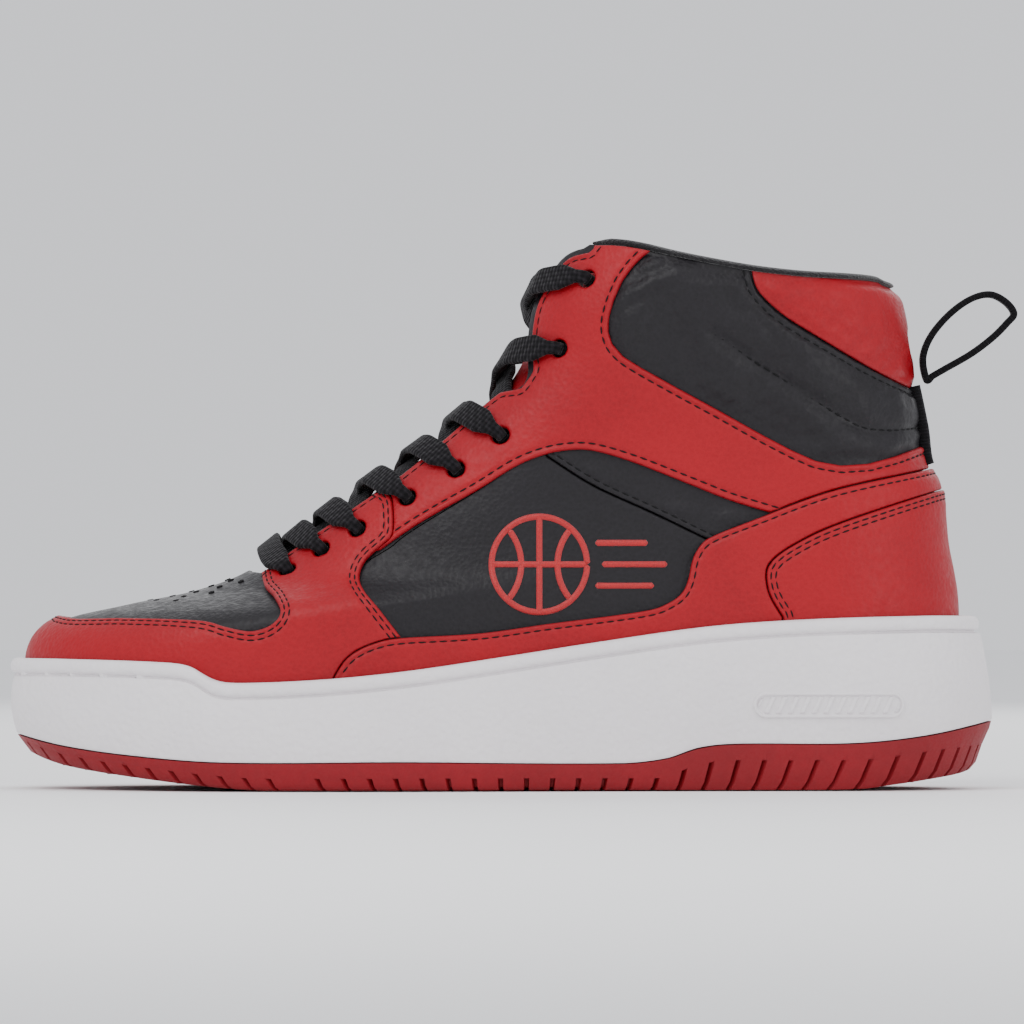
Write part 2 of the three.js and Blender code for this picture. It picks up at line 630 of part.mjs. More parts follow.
// Level of the ridge nearest to an eyelet, where a taut bar over the throat lies highest
function ridgeLevel([x, z]) {
  let nearest = 0;
  const away = (level) => Math.hypot(levelOf(FRONT, level)[0] - x, levelOf(FRONT, level)[1] - z);
  for (let level = 0; level < FRONT.length; level += 0.05) {
    if (away(level) < away(nearest)) nearest = level;
  }
  return nearest;
}
const RIDGE_LEVELS = EYELETS.map(ridgeLevel);

// One bar, from under the eyestay at one eyelet, across the throat, over into the opposite one:
// rows of [level, step, height off the form, width]
function bar(from, to, side, crossing) {
  const [fromLevel, fromStep] = EYELET_PLACES[from];
  const [toLevel, toStep] = EYELET_PLACES[to];
  const rise = (RIDGE_LEVELS[from] + RIDGE_LEVELS[to] - fromLevel - toLevel) / 2;
  // Rows of [way across, height off the form, width]
  const stations = [
    [0.045, LACE_UNDER, LACE_GATHERED],
    [0.11, LACE_UNDER, LACE_WIDTH],
    [0.19, LACE_UNDER, LACE_WIDTH],
    [0.25, LACE_UNDER, LACE_WIDTH],
    [0.31, LACE_UNDER, LACE_WIDTH],
    [0.4, (LACE_UNDER + crossing) / 2, LACE_WIDTH],
    [0.5, crossing, LACE_WIDTH],
    [0.62, (LACE_OVER + crossing) / 2 + 0.6, LACE_WIDTH],
    [0.73, LACE_OVER, LACE_WIDTH],
    [0.81, LACE_OVER, LACE_WIDTH],
    [0.89, LACE_OVER, LACE_WIDTH],
    [0.96, LACE_OVER, LACE_GATHERED],
  ];
  return stations.map(([part, height, width]) => {
    const level = fromLevel + (toLevel - fromLevel) * part + rise * 4 * part * (1 - part);
    return [level, -side * fromStep + side * (toStep + fromStep) * part, height, width];
  });
}

// Down through an eyelet, from outside to inside
function through(eyelet, side) {
  const [level, step] = EYELET_PLACES[eyelet];
  return [LACE_OVER - 0.9, 0.6, LACE_UNDER + 0.4].map((height) => [level, side * step, height, LACE_IN_HOLE]);
}

// A strand from the first eyelet on one side to the last, changing sides at every row
function strand(side, crossing) {
  const rows = [...through(0, side)];
  let from = side;
  for (let row = 0; row < EYELETS.length - 1; row += 1) {
    rows.push(...bar(row, row + 1, -from, crossing));
    from = -from;
    rows.push(...through(row + 1, from));
  }
  const down = TAIL.map(formPlace);
  const tail = down.map(([level, step]) => [level, from * step, LACE_INSIDE, TAIL_WIDTH, true]);
  const [lastLevel, lastStep] = EYELET_PLACES.at(-1);
  return [...rows, [lastLevel, from * lastStep, LACE_INSIDE + 1, LACE_IN_HOLE], ...tail];
}

function laceRows() {
  const [level, step] = EYELET_PLACES[0];
  const first = [-0.92, -0.78, -0.6, -0.4, -0.2, 0, 0.2, 0.4, 0.6, 0.78, 0.92].map((part) => {
    const width = Math.abs(part) > 0.9 ? 5.5 : LACE_WIDTH;
    return [level + (RIDGE_LEVELS[0] - level) * (1 - part * part), step * part, LACE_OVER, width];
  });
  return [...strand(-1, CROSSING.upper).reverse(), ...first, ...strand(1, CROSSING.lower)];
}

function ribbon(stations) {
  const middles = stations.map(([level, step, height]) => offForm([level, step], height));
  const rings = stations.map(([level, step, , width, hangs], i) => {
    const before = middles[Math.max(0, i - 1)];
    const after = middles[Math.min(middles.length - 1, i + 1)];
    const tangent = after.clone().sub(before).normalize();
    const rise = hangs
      ? formPoint(level, step + 0.1).sub(formPoint(level, step - 0.1))
      : formPoint(level + 0.1, step).sub(formPoint(level - 0.1, step));
    const across = rise.addScaledVector(tangent, -rise.dot(tangent)).normalize();
    const thick = across.clone().cross(tangent).normalize();
    across.multiplyScalar(width / 2);
    thick.multiplyScalar(LACE_THICKNESS / 2);
    const corner = (a, b) => middles[i].clone().addScaledVector(across, a).addScaledVector(thick, b);
    return [corner(1, 1), corner(-1, 1), corner(-1, -1), corner(1, -1)];
  });
  return { middles, geometry: loft(rings, true) };
}

function makeLace() {
  const { geometry, middles } = ribbon(laceRows());
  add("lace", solid(geometry), BLACK_TEXTILE);
  const ends = [middles.slice(0, 2).reverse(), middles.slice(-2)];
  ends.forEach(([before, last]) => {
    const side = SIDES.find(([, sign]) => Math.sign(last.y - along(CENTRE, last.x)) === sign)[0];
    const direction = last.clone().sub(before).normalize();
    const aglet = new THREE.CylinderGeometry(AGLET_RADIUS, AGLET_RADIUS * 0.8, AGLET_LENGTH, 8);
    aglet.applyQuaternion(
      new THREE.Quaternion().setFromUnitVectors(new THREE.Vector3(0, -1, 0), direction),
    );
    const centre = last.clone().addScaledVector(direction, AGLET_LENGTH / 2 + GAP);
    aglet.translate(centre.x, centre.y - Math.sign(last.y) * AGLET_RADIUS / 2, centre.z);
    add("aglet_" + side, solid(aglet), BLACK_TEXTILE);
  });
}

makeOutsole();
makeCupsole();
makeFootbed();
makeBaseLeather();
makeOverlays();
makeInnerUpper();
makeTongue();
makeWebbing();
makeLace();

export default group;
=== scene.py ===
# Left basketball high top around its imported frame: toe at -X, heel at +X, lateral side at -Y, +Z up.
# Sizes here are millimetres; mesh_object turns them to metres. The upper's panels are sheets of one form,
# the last's shape: level lines run from the front ridge to the back seam, and each level is an oval.
import math

import bmesh
import bpy
import numpy as np
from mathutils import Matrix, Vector


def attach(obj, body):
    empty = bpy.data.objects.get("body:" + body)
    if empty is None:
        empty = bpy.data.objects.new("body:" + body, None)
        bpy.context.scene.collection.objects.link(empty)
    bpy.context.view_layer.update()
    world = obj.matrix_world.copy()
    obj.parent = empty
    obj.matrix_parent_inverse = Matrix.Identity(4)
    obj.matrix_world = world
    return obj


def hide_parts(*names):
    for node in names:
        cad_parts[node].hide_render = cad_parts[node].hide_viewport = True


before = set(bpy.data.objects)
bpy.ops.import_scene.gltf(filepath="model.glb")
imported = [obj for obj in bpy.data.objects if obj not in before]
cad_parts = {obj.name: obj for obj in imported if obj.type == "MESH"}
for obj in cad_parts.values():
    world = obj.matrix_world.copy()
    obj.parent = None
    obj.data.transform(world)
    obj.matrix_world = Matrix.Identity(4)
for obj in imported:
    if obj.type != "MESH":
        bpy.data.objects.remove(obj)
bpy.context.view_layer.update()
MM = 0.001
SHOE = "shoe"

# ---- The form, as in the frame's own source ----

# [x, z] up the front ridge and up the back seam, one row for each level, and the radii of the ovals' ends.
FRONT = np.array([
    [-145.6, 26], [-147.9, 35], [-146.8, 43.5], [-142, 49.1], [-133, 52.9],
    [-116, 56.4], [-97, 60.4], [-80.5, 67], [-63.4, 80], [-46, 93],
    [-27.5, 106], [-10.8, 120], [-1, 132], [4.2, 148.2], [14.5, 167.5], [27.5, 183],
])
BACK = np.array([
    [128, 38], [131.6, 44], [133.4, 49], [133.6, 54], [133.2, 60],
    [132.2, 66.5], [130.8, 74], [130, 82], [129.2, 91], [125.6, 99.5],
    [124.4, 109], [123, 119], [121.2, 130], [119.4, 142], [116.5, 153.8], [113, 166],
])
FRONT_ROUND = np.array([52, 55, 60, 72, 92, 112, 120, 105, 80, 62, 50, 42, 38, 38, 42, 46.0])
BACK_ROUND = 38.0
# Half-widths by x: of the upper as [x, low down, high up], and of the sole as [x, half-width].
UPPER_WIDTH = np.array([
    [-150, 39, 39], [-120, 45, 44.5], [-90, 47.6, 46], [-65, 48, 44], [-40, 45.5, 40],
    [-10, 40.5, 34.5], [20, 37, 32], [50, 35.4, 31.5], [80, 35.2, 32], [110, 35, 32.5], [140, 34, 32],
])
SOLE_WIDTH = np.array([
    [-155, 47], [-120, 52.5], [-95, 55], [-70, 56], [-45, 54.5], [-15, 49.5],
    [15, 45.6], [45, 43.6], [75, 43.2], [105, 43.2], [147, 42.5],
])
# y of the curved centre line by x.
CENTRE = np.array([
    [-155, 8], [-120, 5.6], [-90, 1.7], [-60, -1.3], [-20, -3.6], [20, -3.8], [60, -2], [100, 0], [150, 0],
])
TOP_LEVEL = 15.0
FRONT_END = 6.0  # steps round: front round 0 to 6, side to 10, back round to 14
SIDE_END = 10.0
BACK_END = 14.0


def smooth(t):
    s = np.clip(t, 0, 1)
    return s * s * (3 - 2 * s)


def along(rows, x, column=1):
    """Smooth curve through rows of [x, value, ...], read at x."""
    x = np.asarray(x, float)
    xs = rows[:, 0]
    values = rows[:, column]
    i = np.clip(np.searchsorted(xs, x, side="right") - 1, 0, len(xs) - 2)
    before = np.maximum(np.arange(len(xs)) - 1, 0)
    after = np.minimum(np.arange(len(xs)) + 1, len(xs) - 1)
    slope = (values[after] - values[before]) / (xs[after] - xs[before])
    run = xs[i + 1] - xs[i]
    s = np.clip((x - xs[i]) / run, 0, 1)
    h = s * s * (3 - 2 * s)
    ease = (s * (1 - s) ** 2 * slope[i] - s * s * (1 - s) * slope[i + 1]) * run
    return values[i] * (1 - h) + values[i + 1] * h + ease


def level_of(values, level):
    """Catmull-Rom reading of a list at a fractional level."""
    level = np.asarray(level, float)
    last = len(values) - 1
    i = np.clip(np.floor(level).astype(int), 0, last - 1)
    t = level - i
    a, b, c, d = (values[np.clip(i + k, 0, last)] for k in (-1, 0, 1, 2))
    if values.ndim == 2:
        t = t[..., None]
    return b + 0.5 * t * (c - a + t * (2 * a - 5 * b + 4 * c - d + t * (3 * (b - c) + d - a)))


def upper_half_width(x, z):
    low = along(UPPER_WIDTH, x, 1)
    high = along(UPPER_WIDTH, x, 2)
    return low + (high - low) * smooth((z - 45) / 55) + 4.5 * smooth((z - 105) / 50)


def oval(step, front, back, front_round, back_round):
    """x and part of the half-width at a step from the front, 0, to the back, BACK_END."""
    s = np.abs(step)
    front_turn = np.clip(s / FRONT_END, 0, 1) * math.pi / 2
    back_turn = np.clip((BACK_END - s) / (BACK_END - SIDE_END), 0, 1) * math.pi / 2
    side = np.clip((s - FRONT_END) / (SIDE_END - FRONT_END), 0, 1)
    start = front + front_round
    end = back - back_round
    x = np.where(s <= FRONT_END, front + front_round * (1 - np.cos(front_turn)), start + (end - start) * side)
    x = np.where(s > SIDE_END, back - back_round * (1 - np.cos(back_turn)), x)
    part = np.where(s <= FRONT_END, np.sin(front_turn), np.where(s > SIDE_END, np.sin(back_turn), 1.0))
    return x, part


def form_point(level, step):
    """Point on the form. A step below 0 is on the lateral side."""
    level, step = np.broadcast_arrays(np.asarray(level, float), np.asarray(step, float))
    front = level_of(FRONT, level)
    back = level_of(BACK, level)
    past = np.abs(step) > BACK_END
    side = np.where(step < 0, -1.0, 1.0) * np.where(past, -1.0, 1.0)
    inside = np.where(past, 2 * BACK_END - np.abs(step), np.abs(step))
    x, part = oval(inside, front[..., 0], back[..., 0], level_of(FRONT_ROUND, level), BACK_ROUND)
    z = front[..., 1] + (back[..., 1] - front[..., 1]) * (x - front[..., 0]) / (back[..., 0] - front[..., 0])
    y = along(CENTRE, x) + side * part * upper_half_width(x, z)
    return np.stack([x, y, z], -1)


def form_normal(level, step):
    level = np.asarray(level, float)
    step = np.asarray(step, float)
    up = form_point(level + 0.03, step) - form_point(level - 0.03, step)
    around = form_point(level, step + 0.03) - form_point(level, step - 0.03)
    n = np.cross(up, around)
    return n / np.maximum(np.linalg.norm(n, axis=-1, keepdims=True), 1e-9)


def form_place(x, z):
    """Level and step (0 to BACK_END) of side-view places."""
    x = np.asarray(x, float)
    z = np.asarray(z, float)
    low = np.zeros_like(x)
    high = np.full_like(x, TOP_LEVEL)
    for _ in range(34):
        middle = (low + high) / 2
        front = level_of(FRONT, middle)
        back = level_of(BACK, middle)
        height = front[..., 1] + (back[..., 1] - front[..., 1]) * (x - front[..., 0]) / (
            back[..., 0] - front[..., 0]
        )
        low = np.where(height < z, middle, low)
        high = np.where(height < z, high, middle)
    front = level_of(FRONT, low)[..., 0]
    back = level_of(BACK, low)[..., 0]
    start = front + level_of(FRONT_ROUND, low)
    end = back - BACK_ROUND
    front_step = np.arccos(np.clip(1 - (x - front) / (start - front), 0, 1)) / (math.pi / 2) * FRONT_END
    side_step = FRONT_END + (SIDE_END - FRONT_END) * (x - start) / (end - start)
    turn = np.arccos(np.clip(1 - (back - x) / BACK_ROUND, 0, 1)) / (math.pi / 2)
    back_step = BACK_END - turn * (BACK_END - SIDE_END)
    return low, np.where(x < start, front_step, np.where(x > end, back_step, side_step))


def on_form(x, z):
    """True where a side-view place lies on the form and not off its front, back or ends."""
    level, _ = form_place(x, z)
    front = level_of(FRONT, level)[..., 0]
    back = level_of(BACK, level)[..., 0]
    return (x > front) & (x < back) & (level > 0.001) & (level < TOP_LEVEL - 0.001)


# ---- Outlines of the upper in side view, as [x, z]; each stretch is smoothed on its own ----


def spline(points, spacing=1.0):
    p = np.array(points, float)
    if len(p) < 3:
        return p
    t = np.concatenate([
        np.linspace(i, i + 1, max(2, int(np.linalg.norm(p[i + 1] - p[i]) / spacing) + 1), endpoint=False)
        for i in range(len(p) - 1)
    ] + [[len(p) - 1.0]])
    return level_of(p, t)


def outline(*stretches, spacing=1.6):
    points = np.concatenate([spline(s, spacing) if len(s) < 20 else np.asarray(s) for s in stretches])
    keep = np.linalg.norm(points - np.roll(points, -1, 0), axis=1) > 0.02
    return points[keep]


def straight(points):
    """Stretches that keep every corner."""
    return [[points[i], points[i + 1]] for i in range(len(points) - 1)]


THROAT = [
    [-76.8, 65.9], [-66.7, 73.5], [-49.1, 85.6], [-33.4, 96.5], [-21.8, 106.1], [-10.1, 116.3], [-4, 121.2],
]
FLAP_FRONT = [
    [2.5, 122.4], [4.4, 127], [4.4, 136.7], [6.6, 148.2], [12.9, 159.2], [17.5, 163.6], [23, 165.2],
]
MUDGUARD = outline(
    *straight([[-175, 0], [-175, 58], [-141, 53.4]]),
    [[-139.3, 52.9], [-133.3, 52.1], [-117.3, 52.4], [-95.3, 51.8], [-87.2, 49.8], [-80.2, 48.3],
     [-75.2, 49.2], [-71.6, 51.9], [-70.6, 55.2], [-72.8, 59.6], [-75.9, 62.7], [-76.8, 65.9]],
    *straight([[-79, 71], [-54, 88], [-43, 95]]),
    [[-41.1, 91.7], [-38.6, 90.5], [-37.1, 87.5], [-36.9, 78.3], [-39.2, 75.4], [-45.1, 70.2], [-46.9, 65.4],
     [-45.3, 61.2], [-42, 57], [-33.9, 46.5]],
    *straight([[-33.9, 46.4], [-33.9, 0]]),
)
FOXING = outline(
    [[-54.3, 0], [-54.3, 33.5]],
    [[-54.3, 33.9], [-51.2, 39], [-47.2, 42.3], [-41.2, 44.8], [-33.9, 46.2], [-10.1, 47.6], [11, 50.5],
     [39, 54.2], [47.1, 56.7], [51.5, 60], [53.4, 64.4], [54.6, 70.1], [57.1, 74.5], [60.9, 77.2],
     [73.9, 82.3], [97.2, 90.8], [126.6, 97.4], [150, 102.5]],
    [[150.1, 102], [150.1, 0]],
)
PATCH = outline(
    [[82.2, 40], [82.2, 52.5]],
    [[82.1, 52.6], [78.4, 58.9], [77.2, 63.8], [77.5, 67.6], [79.7, 70.4], [84, 73.5], [92.2, 77.9],
     [101.5, 81.6], [114.1, 85.8], [125.3, 89.3], [132.8, 91.4], [150, 95.4]],
    [[150.1, 95], [150.1, 40]],
)
BAND = outline(
    *straight([[-60, 76], [-52, 92], [-12, 128], [-6, 180], [23, 180], [42, 180], [42, 164.3]]),
    [[42, 164.2], [39, 162.1], [36, 159], [33, 154.8], [30.4, 148.8], [28.9, 143.3], [28.8, 139], [30, 135.4],
     [33.4, 131.6], [39, 128.1], [49.8, 122.1], [63.5, 114.7], [76.1, 107.7], [85.6, 102.8], [92.3, 99.9],
     [100, 98.6], [108.6, 99.2], [117.5, 101.5], [127.9, 105.2], [150, 112]],
    *straight([[150, 96], [79.4, 82]]),
    [[79.3, 83.9], [66, 88], [54.3, 92.6], [37.7, 99.1], [25.8, 102.7], [18.7, 103.3], [10.4, 102.1],
     [0.9, 98.5], [-10.7, 91.4], [-28.5, 81.4], [-41.5, 72.6]],
)
COLLAR_BACK = outline(
    [[72.4, 175], [72.4, 159]],
    [[72.4, 158.9], [73.6, 153.4], [76.1, 149.7], [82.5, 144], [91.7, 138.3], [101.2, 132.8], [110.6, 127.7],
     [118.7, 123.9], [124.8, 121.5], [150, 112]],
    [[150, 112.2], [150, 175]],
)
TOPLINE = spline([
    [-10, 169.4], [17.3, 166.1], [30, 165.7], [38, 164.6], [50, 161.9], [66.7, 158.7], [78, 157], [90, 155.9],
    [104, 155.3], [112, 154.7], [117.5, 152.9], [150, 147],
])
ABOVE_TOPLINE = outline(TOPLINE, [[150, 220], [-10, 220]])
THROAT_OPEN = outline(THROAT, FLAP_FRONT, *straight([[23.2, 230], [-60, 230], [-112, 90], [-80, 66.4]]))
BACKING_EDGE = [[-37, 73.6], [-30, 79], [-5, 94.5], [16, 111], [27, 120]]
BAND_MIDDLE = [[27, 120], [60, 101], [85, 91], [110, 93], [150, 104]]
FLAP_EDGE = [[27, 120], [23.4, 134], [24.4, 148], [31, 158], [37, 170]]
# The vamp's seam lies under the mudguard, a little further forward than in the frame.
VAMP = outline(*straight([[-175, 0], [-175, 120], [-60, 120], [-52, 100], [-52, 74], [-52, 60], [-52, 0]]))
BACKING = outline([[-60, 120], [-60, 60]], BACKING_EDGE, FLAP_EDGE[1:], [[-20, 180], [-20, 181]])
QUARTER = outline([[-60, 0], [-60, 60]], BACKING_EDGE, BAND_MIDDLE[1:], [[150, 0], [149, 0]])
QUARTER_BAND = outline(
    [[10.4, 101.5], [24.5, 92.6], [42.3, 84.4], [59.5, 76.1]],
    *straight([[90, 62], [90, 130], [0, 130]]),
)
ANKLE = outline(BAND_MIDDLE[::-1], FLAP_EDGE[1:], *straight([[37, 220], [150, 220]]))
LINING_SEAM = outline(*straight([[-14, 0], [-14, 60], [-26, 85], [-26, 150], [-175, 150], [-175, 0]]))
TONGUE = outline(
    [[-82, 57], [-70, 60], [-44, 74], [-18, 92], [1, 111], [13, 128], [20, 145], [25, 160]],
    [[26.5, 164.5], [30, 168.3], [33, 169.6], [28, 171], [20, 171.8]],
    *straight([[-20, 171.8], [-120, 100], [-86, 58]]),
)


def side_distance(points, x, z):
    """Distance from side-view places to an outline, more than 0 inside it, and its direction."""
    a = points
    b = np.roll(points, -1, 0)
    best = np.full(x.shape, 1e9)
    away_x = np.zeros(x.shape)
    away_z = np.zeros(x.shape)
    inside = np.zeros(x.shape, bool)
    for (ax, az), (bx, bz) in zip(a, b):
        dx, dz = bx - ax, bz - az
        t = np.clip(((x - ax) * dx + (z - az) * dz) / (dx * dx + dz * dz), 0, 1)
        gx = x - ax - t * dx
        gz = z - az - t * dz
        far = gx * gx + gz * gz
        nearer = far < best
        best = np.where(nearer, far, best)
        away_x = np.where(nearer, gx, away_x)
        away_z = np.where(nearer, gz, away_z)
        if dz:
            inside ^= ((az > z) != (bz > z)) & (x < dx * (z - az) / dz + ax)
    best = np.sqrt(best)
    long = np.maximum(best, 1e-6)
    return np.where(inside, best, -best), away_x / long, away_z / long


def surface_distance(points, p, n):
    """Distance along the form's surface to an outline, to the first order."""
    d, gx, gz = side_distance(points, p[:, 0], p[:, 2])
    facing = n[:, 0] * gx + n[:, 2] * gz
    return d / np.sqrt(np.maximum(1 - facing * facing, 0.12))


def inside(points):
    return lambda p, n: surface_distance(points, p, n)


def outside(points, gap=0.0):
    return lambda p, n: -surface_distance(points, p, n) - gap


# ---- Sheets of the form, cut to fields that are more than 0 where the sheet is kept ----


def cut_lines(table, tris, values, column, value, locked):
    """Splits triangles where one column of values passes a value; near points move on to the line."""
    f = values[:, column]
    pairs = np.sort(np.concatenate([tris[:, [0, 1]], tris[:, [1, 2]], tris[:, [2, 0]]]), axis=1)
    pairs = np.unique(pairs, axis=0)
    a, b = pairs[(f[pairs[:, 0]] - value) * (f[pairs[:, 1]] - value) < 0].T
    t = (value - f[a]) / (f[b] - f[a])
    moved_table = table.copy()
    moved = values.copy()
    for near, far, part in ((a, b, t), (b, a, 1 - t)):
        pick = (part < 0.25) & ~locked[near]
        u, v, s = near[pick], far[pick], part[pick, None]
        moved_table[u] = table[u] + (table[v] - table[u]) * s
        moved[u] = values[u] + (values[v] - values[u]) * s
        moved[u, column] = value
        locked[u] = True
    table, values = moved_table, moved
    f = values[:, column]
    a, b = pairs[(f[pairs[:, 0]] - value) * (f[pairs[:, 1]] - value) < 0].T
    t = ((value - f[a]) / (f[b] - f[a]))[:, None]
    count = len(table)
    fresh = values[a] + (values[b] - values[a]) * t
    fresh[:, column] = value
    keys = a * count + b
    table = np.concatenate([table, table[a] + (table[b] - table[a]) * t])
    values = np.concatenate([values, fresh])
    locked = np.concatenate([locked, np.ones(len(a), bool)])
    if not len(keys):
        return table, tris, values, locked
    on = []
    for i in range(3):
        u, v = tris[:, i], tris[:, (i + 1) % 3]
        key = np.minimum(u, v) * count + np.maximum(u, v)
        at = np.minimum(np.searchsorted(keys, key), len(keys) - 1)
        on.append(np.where(keys[at] == key, count + at, -1))
    cuts = sum(edge >= 0 for edge in on)
    made = [tris[cuts == 0]]
    for i in range(3):
        v0, v1, v2 = tris[:, i], tris[:, (i + 1) % 3], tris[:, (i + 2) % 3]
        m, k = on[i], on[(i + 2) % 3]
        one = (cuts == 1) & (m >= 0)
        made += [np.stack(q, 1)[one] for q in ((v0, m, v2), (m, v1, v2))]
        two = (cuts == 2) & (m >= 0) & (k >= 0)
        made += [np.stack(q, 1)[two] for q in ((v0, m, k), (m, v1, v2), (m, v2, k))]
    return table, np.concatenate(made), values, locked


def compact(table, tris, values, locked):
    """Drops the points that no triangle uses."""
    used = np.unique(tris)
    renumber = np.zeros(len(table), int)
    renumber[used] = np.arange(len(used))
    return table[used], renumber[tris], values[used], locked[used]


def even_lines(region, keep, spacing):
    """Levels and steps that put a grid's lines about a spacing apart where the sheet is kept."""
    levels = np.linspace(region[0], region[1], 80)
    steps = np.linspace(region[2], region[3], 160)
    L, S = np.meshgrid(levels, steps, indexing="ij")
    p = form_point(L, S)
    kept = keep(L.ravel(), S.ravel()).reshape(L.shape)

    def even(lines, lengths):
        total = np.concatenate([[0], np.cumsum(np.maximum(lengths, 1e-4))])
        count = max(4, int(total[-1] / spacing))
        return np.interp(np.linspace(0, total[-1], count), total, lines)

    up = np.linalg.norm(np.diff(p, axis=0), axis=2) * (kept[1:] | kept[:-1])
    across = np.linalg.norm(np.diff(p, axis=1), axis=2) * (kept[:, 1:] | kept[:, :-1])
    return even(levels, up.max(1)), even(steps, across.max(0))


class Sheet:
    """A sheet of the form between two levels and two steps, cut to its fields.

    table holds the level and step of its points, and values the fields there. lines gives the distances
    inside each edge at which the mesh gets a line of points.
    """

    def __init__(self, region, fields, middle=0.0, spacing=1.4, lines=()):
        def read(level, step):
            n = form_normal(level, step)
            p = form_point(level, step) + n * middle
            return np.stack([field(p, n) for field in fields], 1)

        levels, steps = even_lines(region, lambda L, S: read(L, S).min(1) > -3, spacing)
        L, S = np.meshgrid(levels, steps, indexing="ij")
        rows, columns = L.shape
        corner = (np.arange(rows - 1)[:, None] * columns + np.arange(columns - 1)).ravel()
        a, b, c, d = corner, corner + 1, corner + columns, corner + columns + 1
        tris = np.concatenate([np.stack([a, b, c], 1), np.stack([b, d, c], 1)])
        table = np.stack([L.ravel(), S.ravel()], 1)
        values = read(table[:, 0], table[:, 1])
        low = values.min(1)
        tris = tris[low[tris].max(1) > -0.5]
        locked = np.zeros(len(table), bool)
        state = compact(table, tris, values, locked)
        for column in range(len(fields)):
            for value in [0.0] + list(lines[column] if column < len(lines) else ()):
                table, tris, values, locked = cut_lines(*state[:3], column, value, state[3])
                if value == 0.0:
                    tris = tris[values[tris, column].min(1) > -1e-7]
                state = compact(table, tris, values, locked)
        self.table, self.tris, self.values, _ = state
        self.level, self.step = self.table.T
        self.point = form_point(self.level, self.step)
        self.normal = form_normal(self.level, self.step)
        p = self.point[self.tris]
        turned = np.cross(p[:, 1] - p[:, 0], p[:, 2] - p[:, 0])
        back = (turned * self.normal[self.tris[:, 0]]).sum(1) < 0
        self.tris[back] = self.tris[back][:, ::-1]

    def row(self, column, value, height, keep=None, clear=0.9, shortest=8.0):
        """Lines at a distance inside an edge, lifted off the form, as lists of points."""
        on = np.abs(self.values[:, column] - value) < 1e-6
        pairs = np.concatenate([self.tris[:, [0, 1]], self.tris[:, [1, 2]], self.tris[:, [2, 0]]])
        pairs = np.unique(np.sort(pairs[on[pairs].all(1)], axis=1), axis=0)
        others = np.delete(self.values, column, 1)
        free = (others > clear).all(1) if others.shape[1] else np.ones(len(on), bool)
        if keep is not None:
            free &= keep(self.point)
        pairs = pairs[free[pairs].all(1)]
        at = self.point + self.normal * np.asarray(height)[..., None] * np.ones((len(on), 1))
        return chains(pairs, at, shortest)


def chains(pairs, at, shortest):
    """Joins pairs of points into lines, leaving out lines that are too short."""
    links = {}
    for a, b in pairs.tolist():
        links.setdefault(a, []).append(b)
        links.setdefault(b, []).append(a)
    ends = [v for v, near in links.items() if len(near) == 1] + list(links)
    seen = set()
    found = []
    for start in ends:
        if start in seen:
            continue
        chain = [start]
        seen.add(start)
        while True:
            following = [v for v in links[chain[-1]] if v not in seen]
            if not following:
                break
            chain.append(following[0])
            seen.add(following[0])
        if chain[0] in links[chain[-1]] and len(chain) > 4:
            chain.append(chain[0])
        line = at[chain]
        if np.linalg.norm(np.diff(line, axis=0), axis=1).sum() > shortest:
            found.append(line)
    return found


def mesh_object(name, points, faces, material, smooth_angle=50, body=SHOE, nodes=(), slot=None):
    """A piece from points in millimetres and faces that point outwards."""
    mesh = bpy.data.meshes.new(name)
    mesh.from_pydata((np.asarray(points) * MM).tolist(), [], [list(map(int, f)) for f in faces])
    mesh.update()
    mesh.shade_smooth()
    mesh.set_sharp_from_angle(angle=math.radians(smooth_angle))
    mesh.materials.append(material)
    made = bpy.data.objects.new(name, mesh)
    bpy.context.collection.objects.link(made)
    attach(made, body)
    if nodes:
        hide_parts(*nodes)
    return made


def shell_of(name, sheet, inner, outer, material, **kinds):
    """Closed shell over a sheet, between two heights off the form."""
    count = len(sheet.point)
    top = sheet.point + sheet.normal * (np.zeros(count) + outer)[:, None]
    under = sheet.point + sheet.normal * (np.zeros(count) + inner)[:, None]
    t = sheet.tris
    pairs = np.concatenate([t[:, [0, 1]], t[:, [1, 2]], t[:, [2, 0]]])
    keys = pairs[:, 0] * count + pairs[:, 1]
    back = pairs[:, 1] * count + pairs[:, 0]
    rim = pairs[~np.isin(keys, back)]
    quads = np.stack([rim[:, 1], rim[:, 0], rim[:, 0] + count, rim[:, 1] + count], 1)
    faces = t.tolist() + (t[:, ::-1] + count).tolist() + quads.tolist()
    made = mesh_object(name, np.concatenate([top, under]), faces, material, **kinds)
    edge = np.clip(sheet.values.min(1) / 3, 0, 1)
    made.data.attributes.new("edge", "FLOAT", "POINT").data.foreach_set("value", np.tile(edge, 2))
    return made


def loft(rings, close=True):
    """Points and faces of rings joined in turn; closed across its first and last rings, or to itself."""
    count = len(rings[0])
    points = np.concatenate(rings)
    k = np.arange(count)
    faces = []
    for r in range(len(rings) - (1 if close else 0)):
        a = r * count + k
        b = r * count + (k + 1) % count
        shift = ((r + 1) % len(rings) - r) * count
        faces += np.stack([a, b, b + shift, a + shift], 1).tolist()
    if close:
        half = count // 2
        for start, turn in ((0, -1), ((len(rings) - 1) * count, 1)):
            for i in range(half):
                quad = [start + i, start + i + 1, start + count - i - 1, start + (count - i) % count]
                quad = list(dict.fromkeys(quad))
                if len(quad) > 2:
                    faces.append(quad[::turn])
    return points, faces


def tube_faces(rows, count, first=0):
    """Faces of a tube of rings with a flat cap at each end."""
    faces = []
    for r in range(rows - 1):
        for k in range(count):
            a = first + r * count + k
            b = first + r * count + (k + 1) % count
            faces.append([a, b, b + count, a + count])
    faces.append([first + k for k in range(count)][::-1])
    faces.append([first + (rows - 1) * count + k for k in range(count)])
    return faces


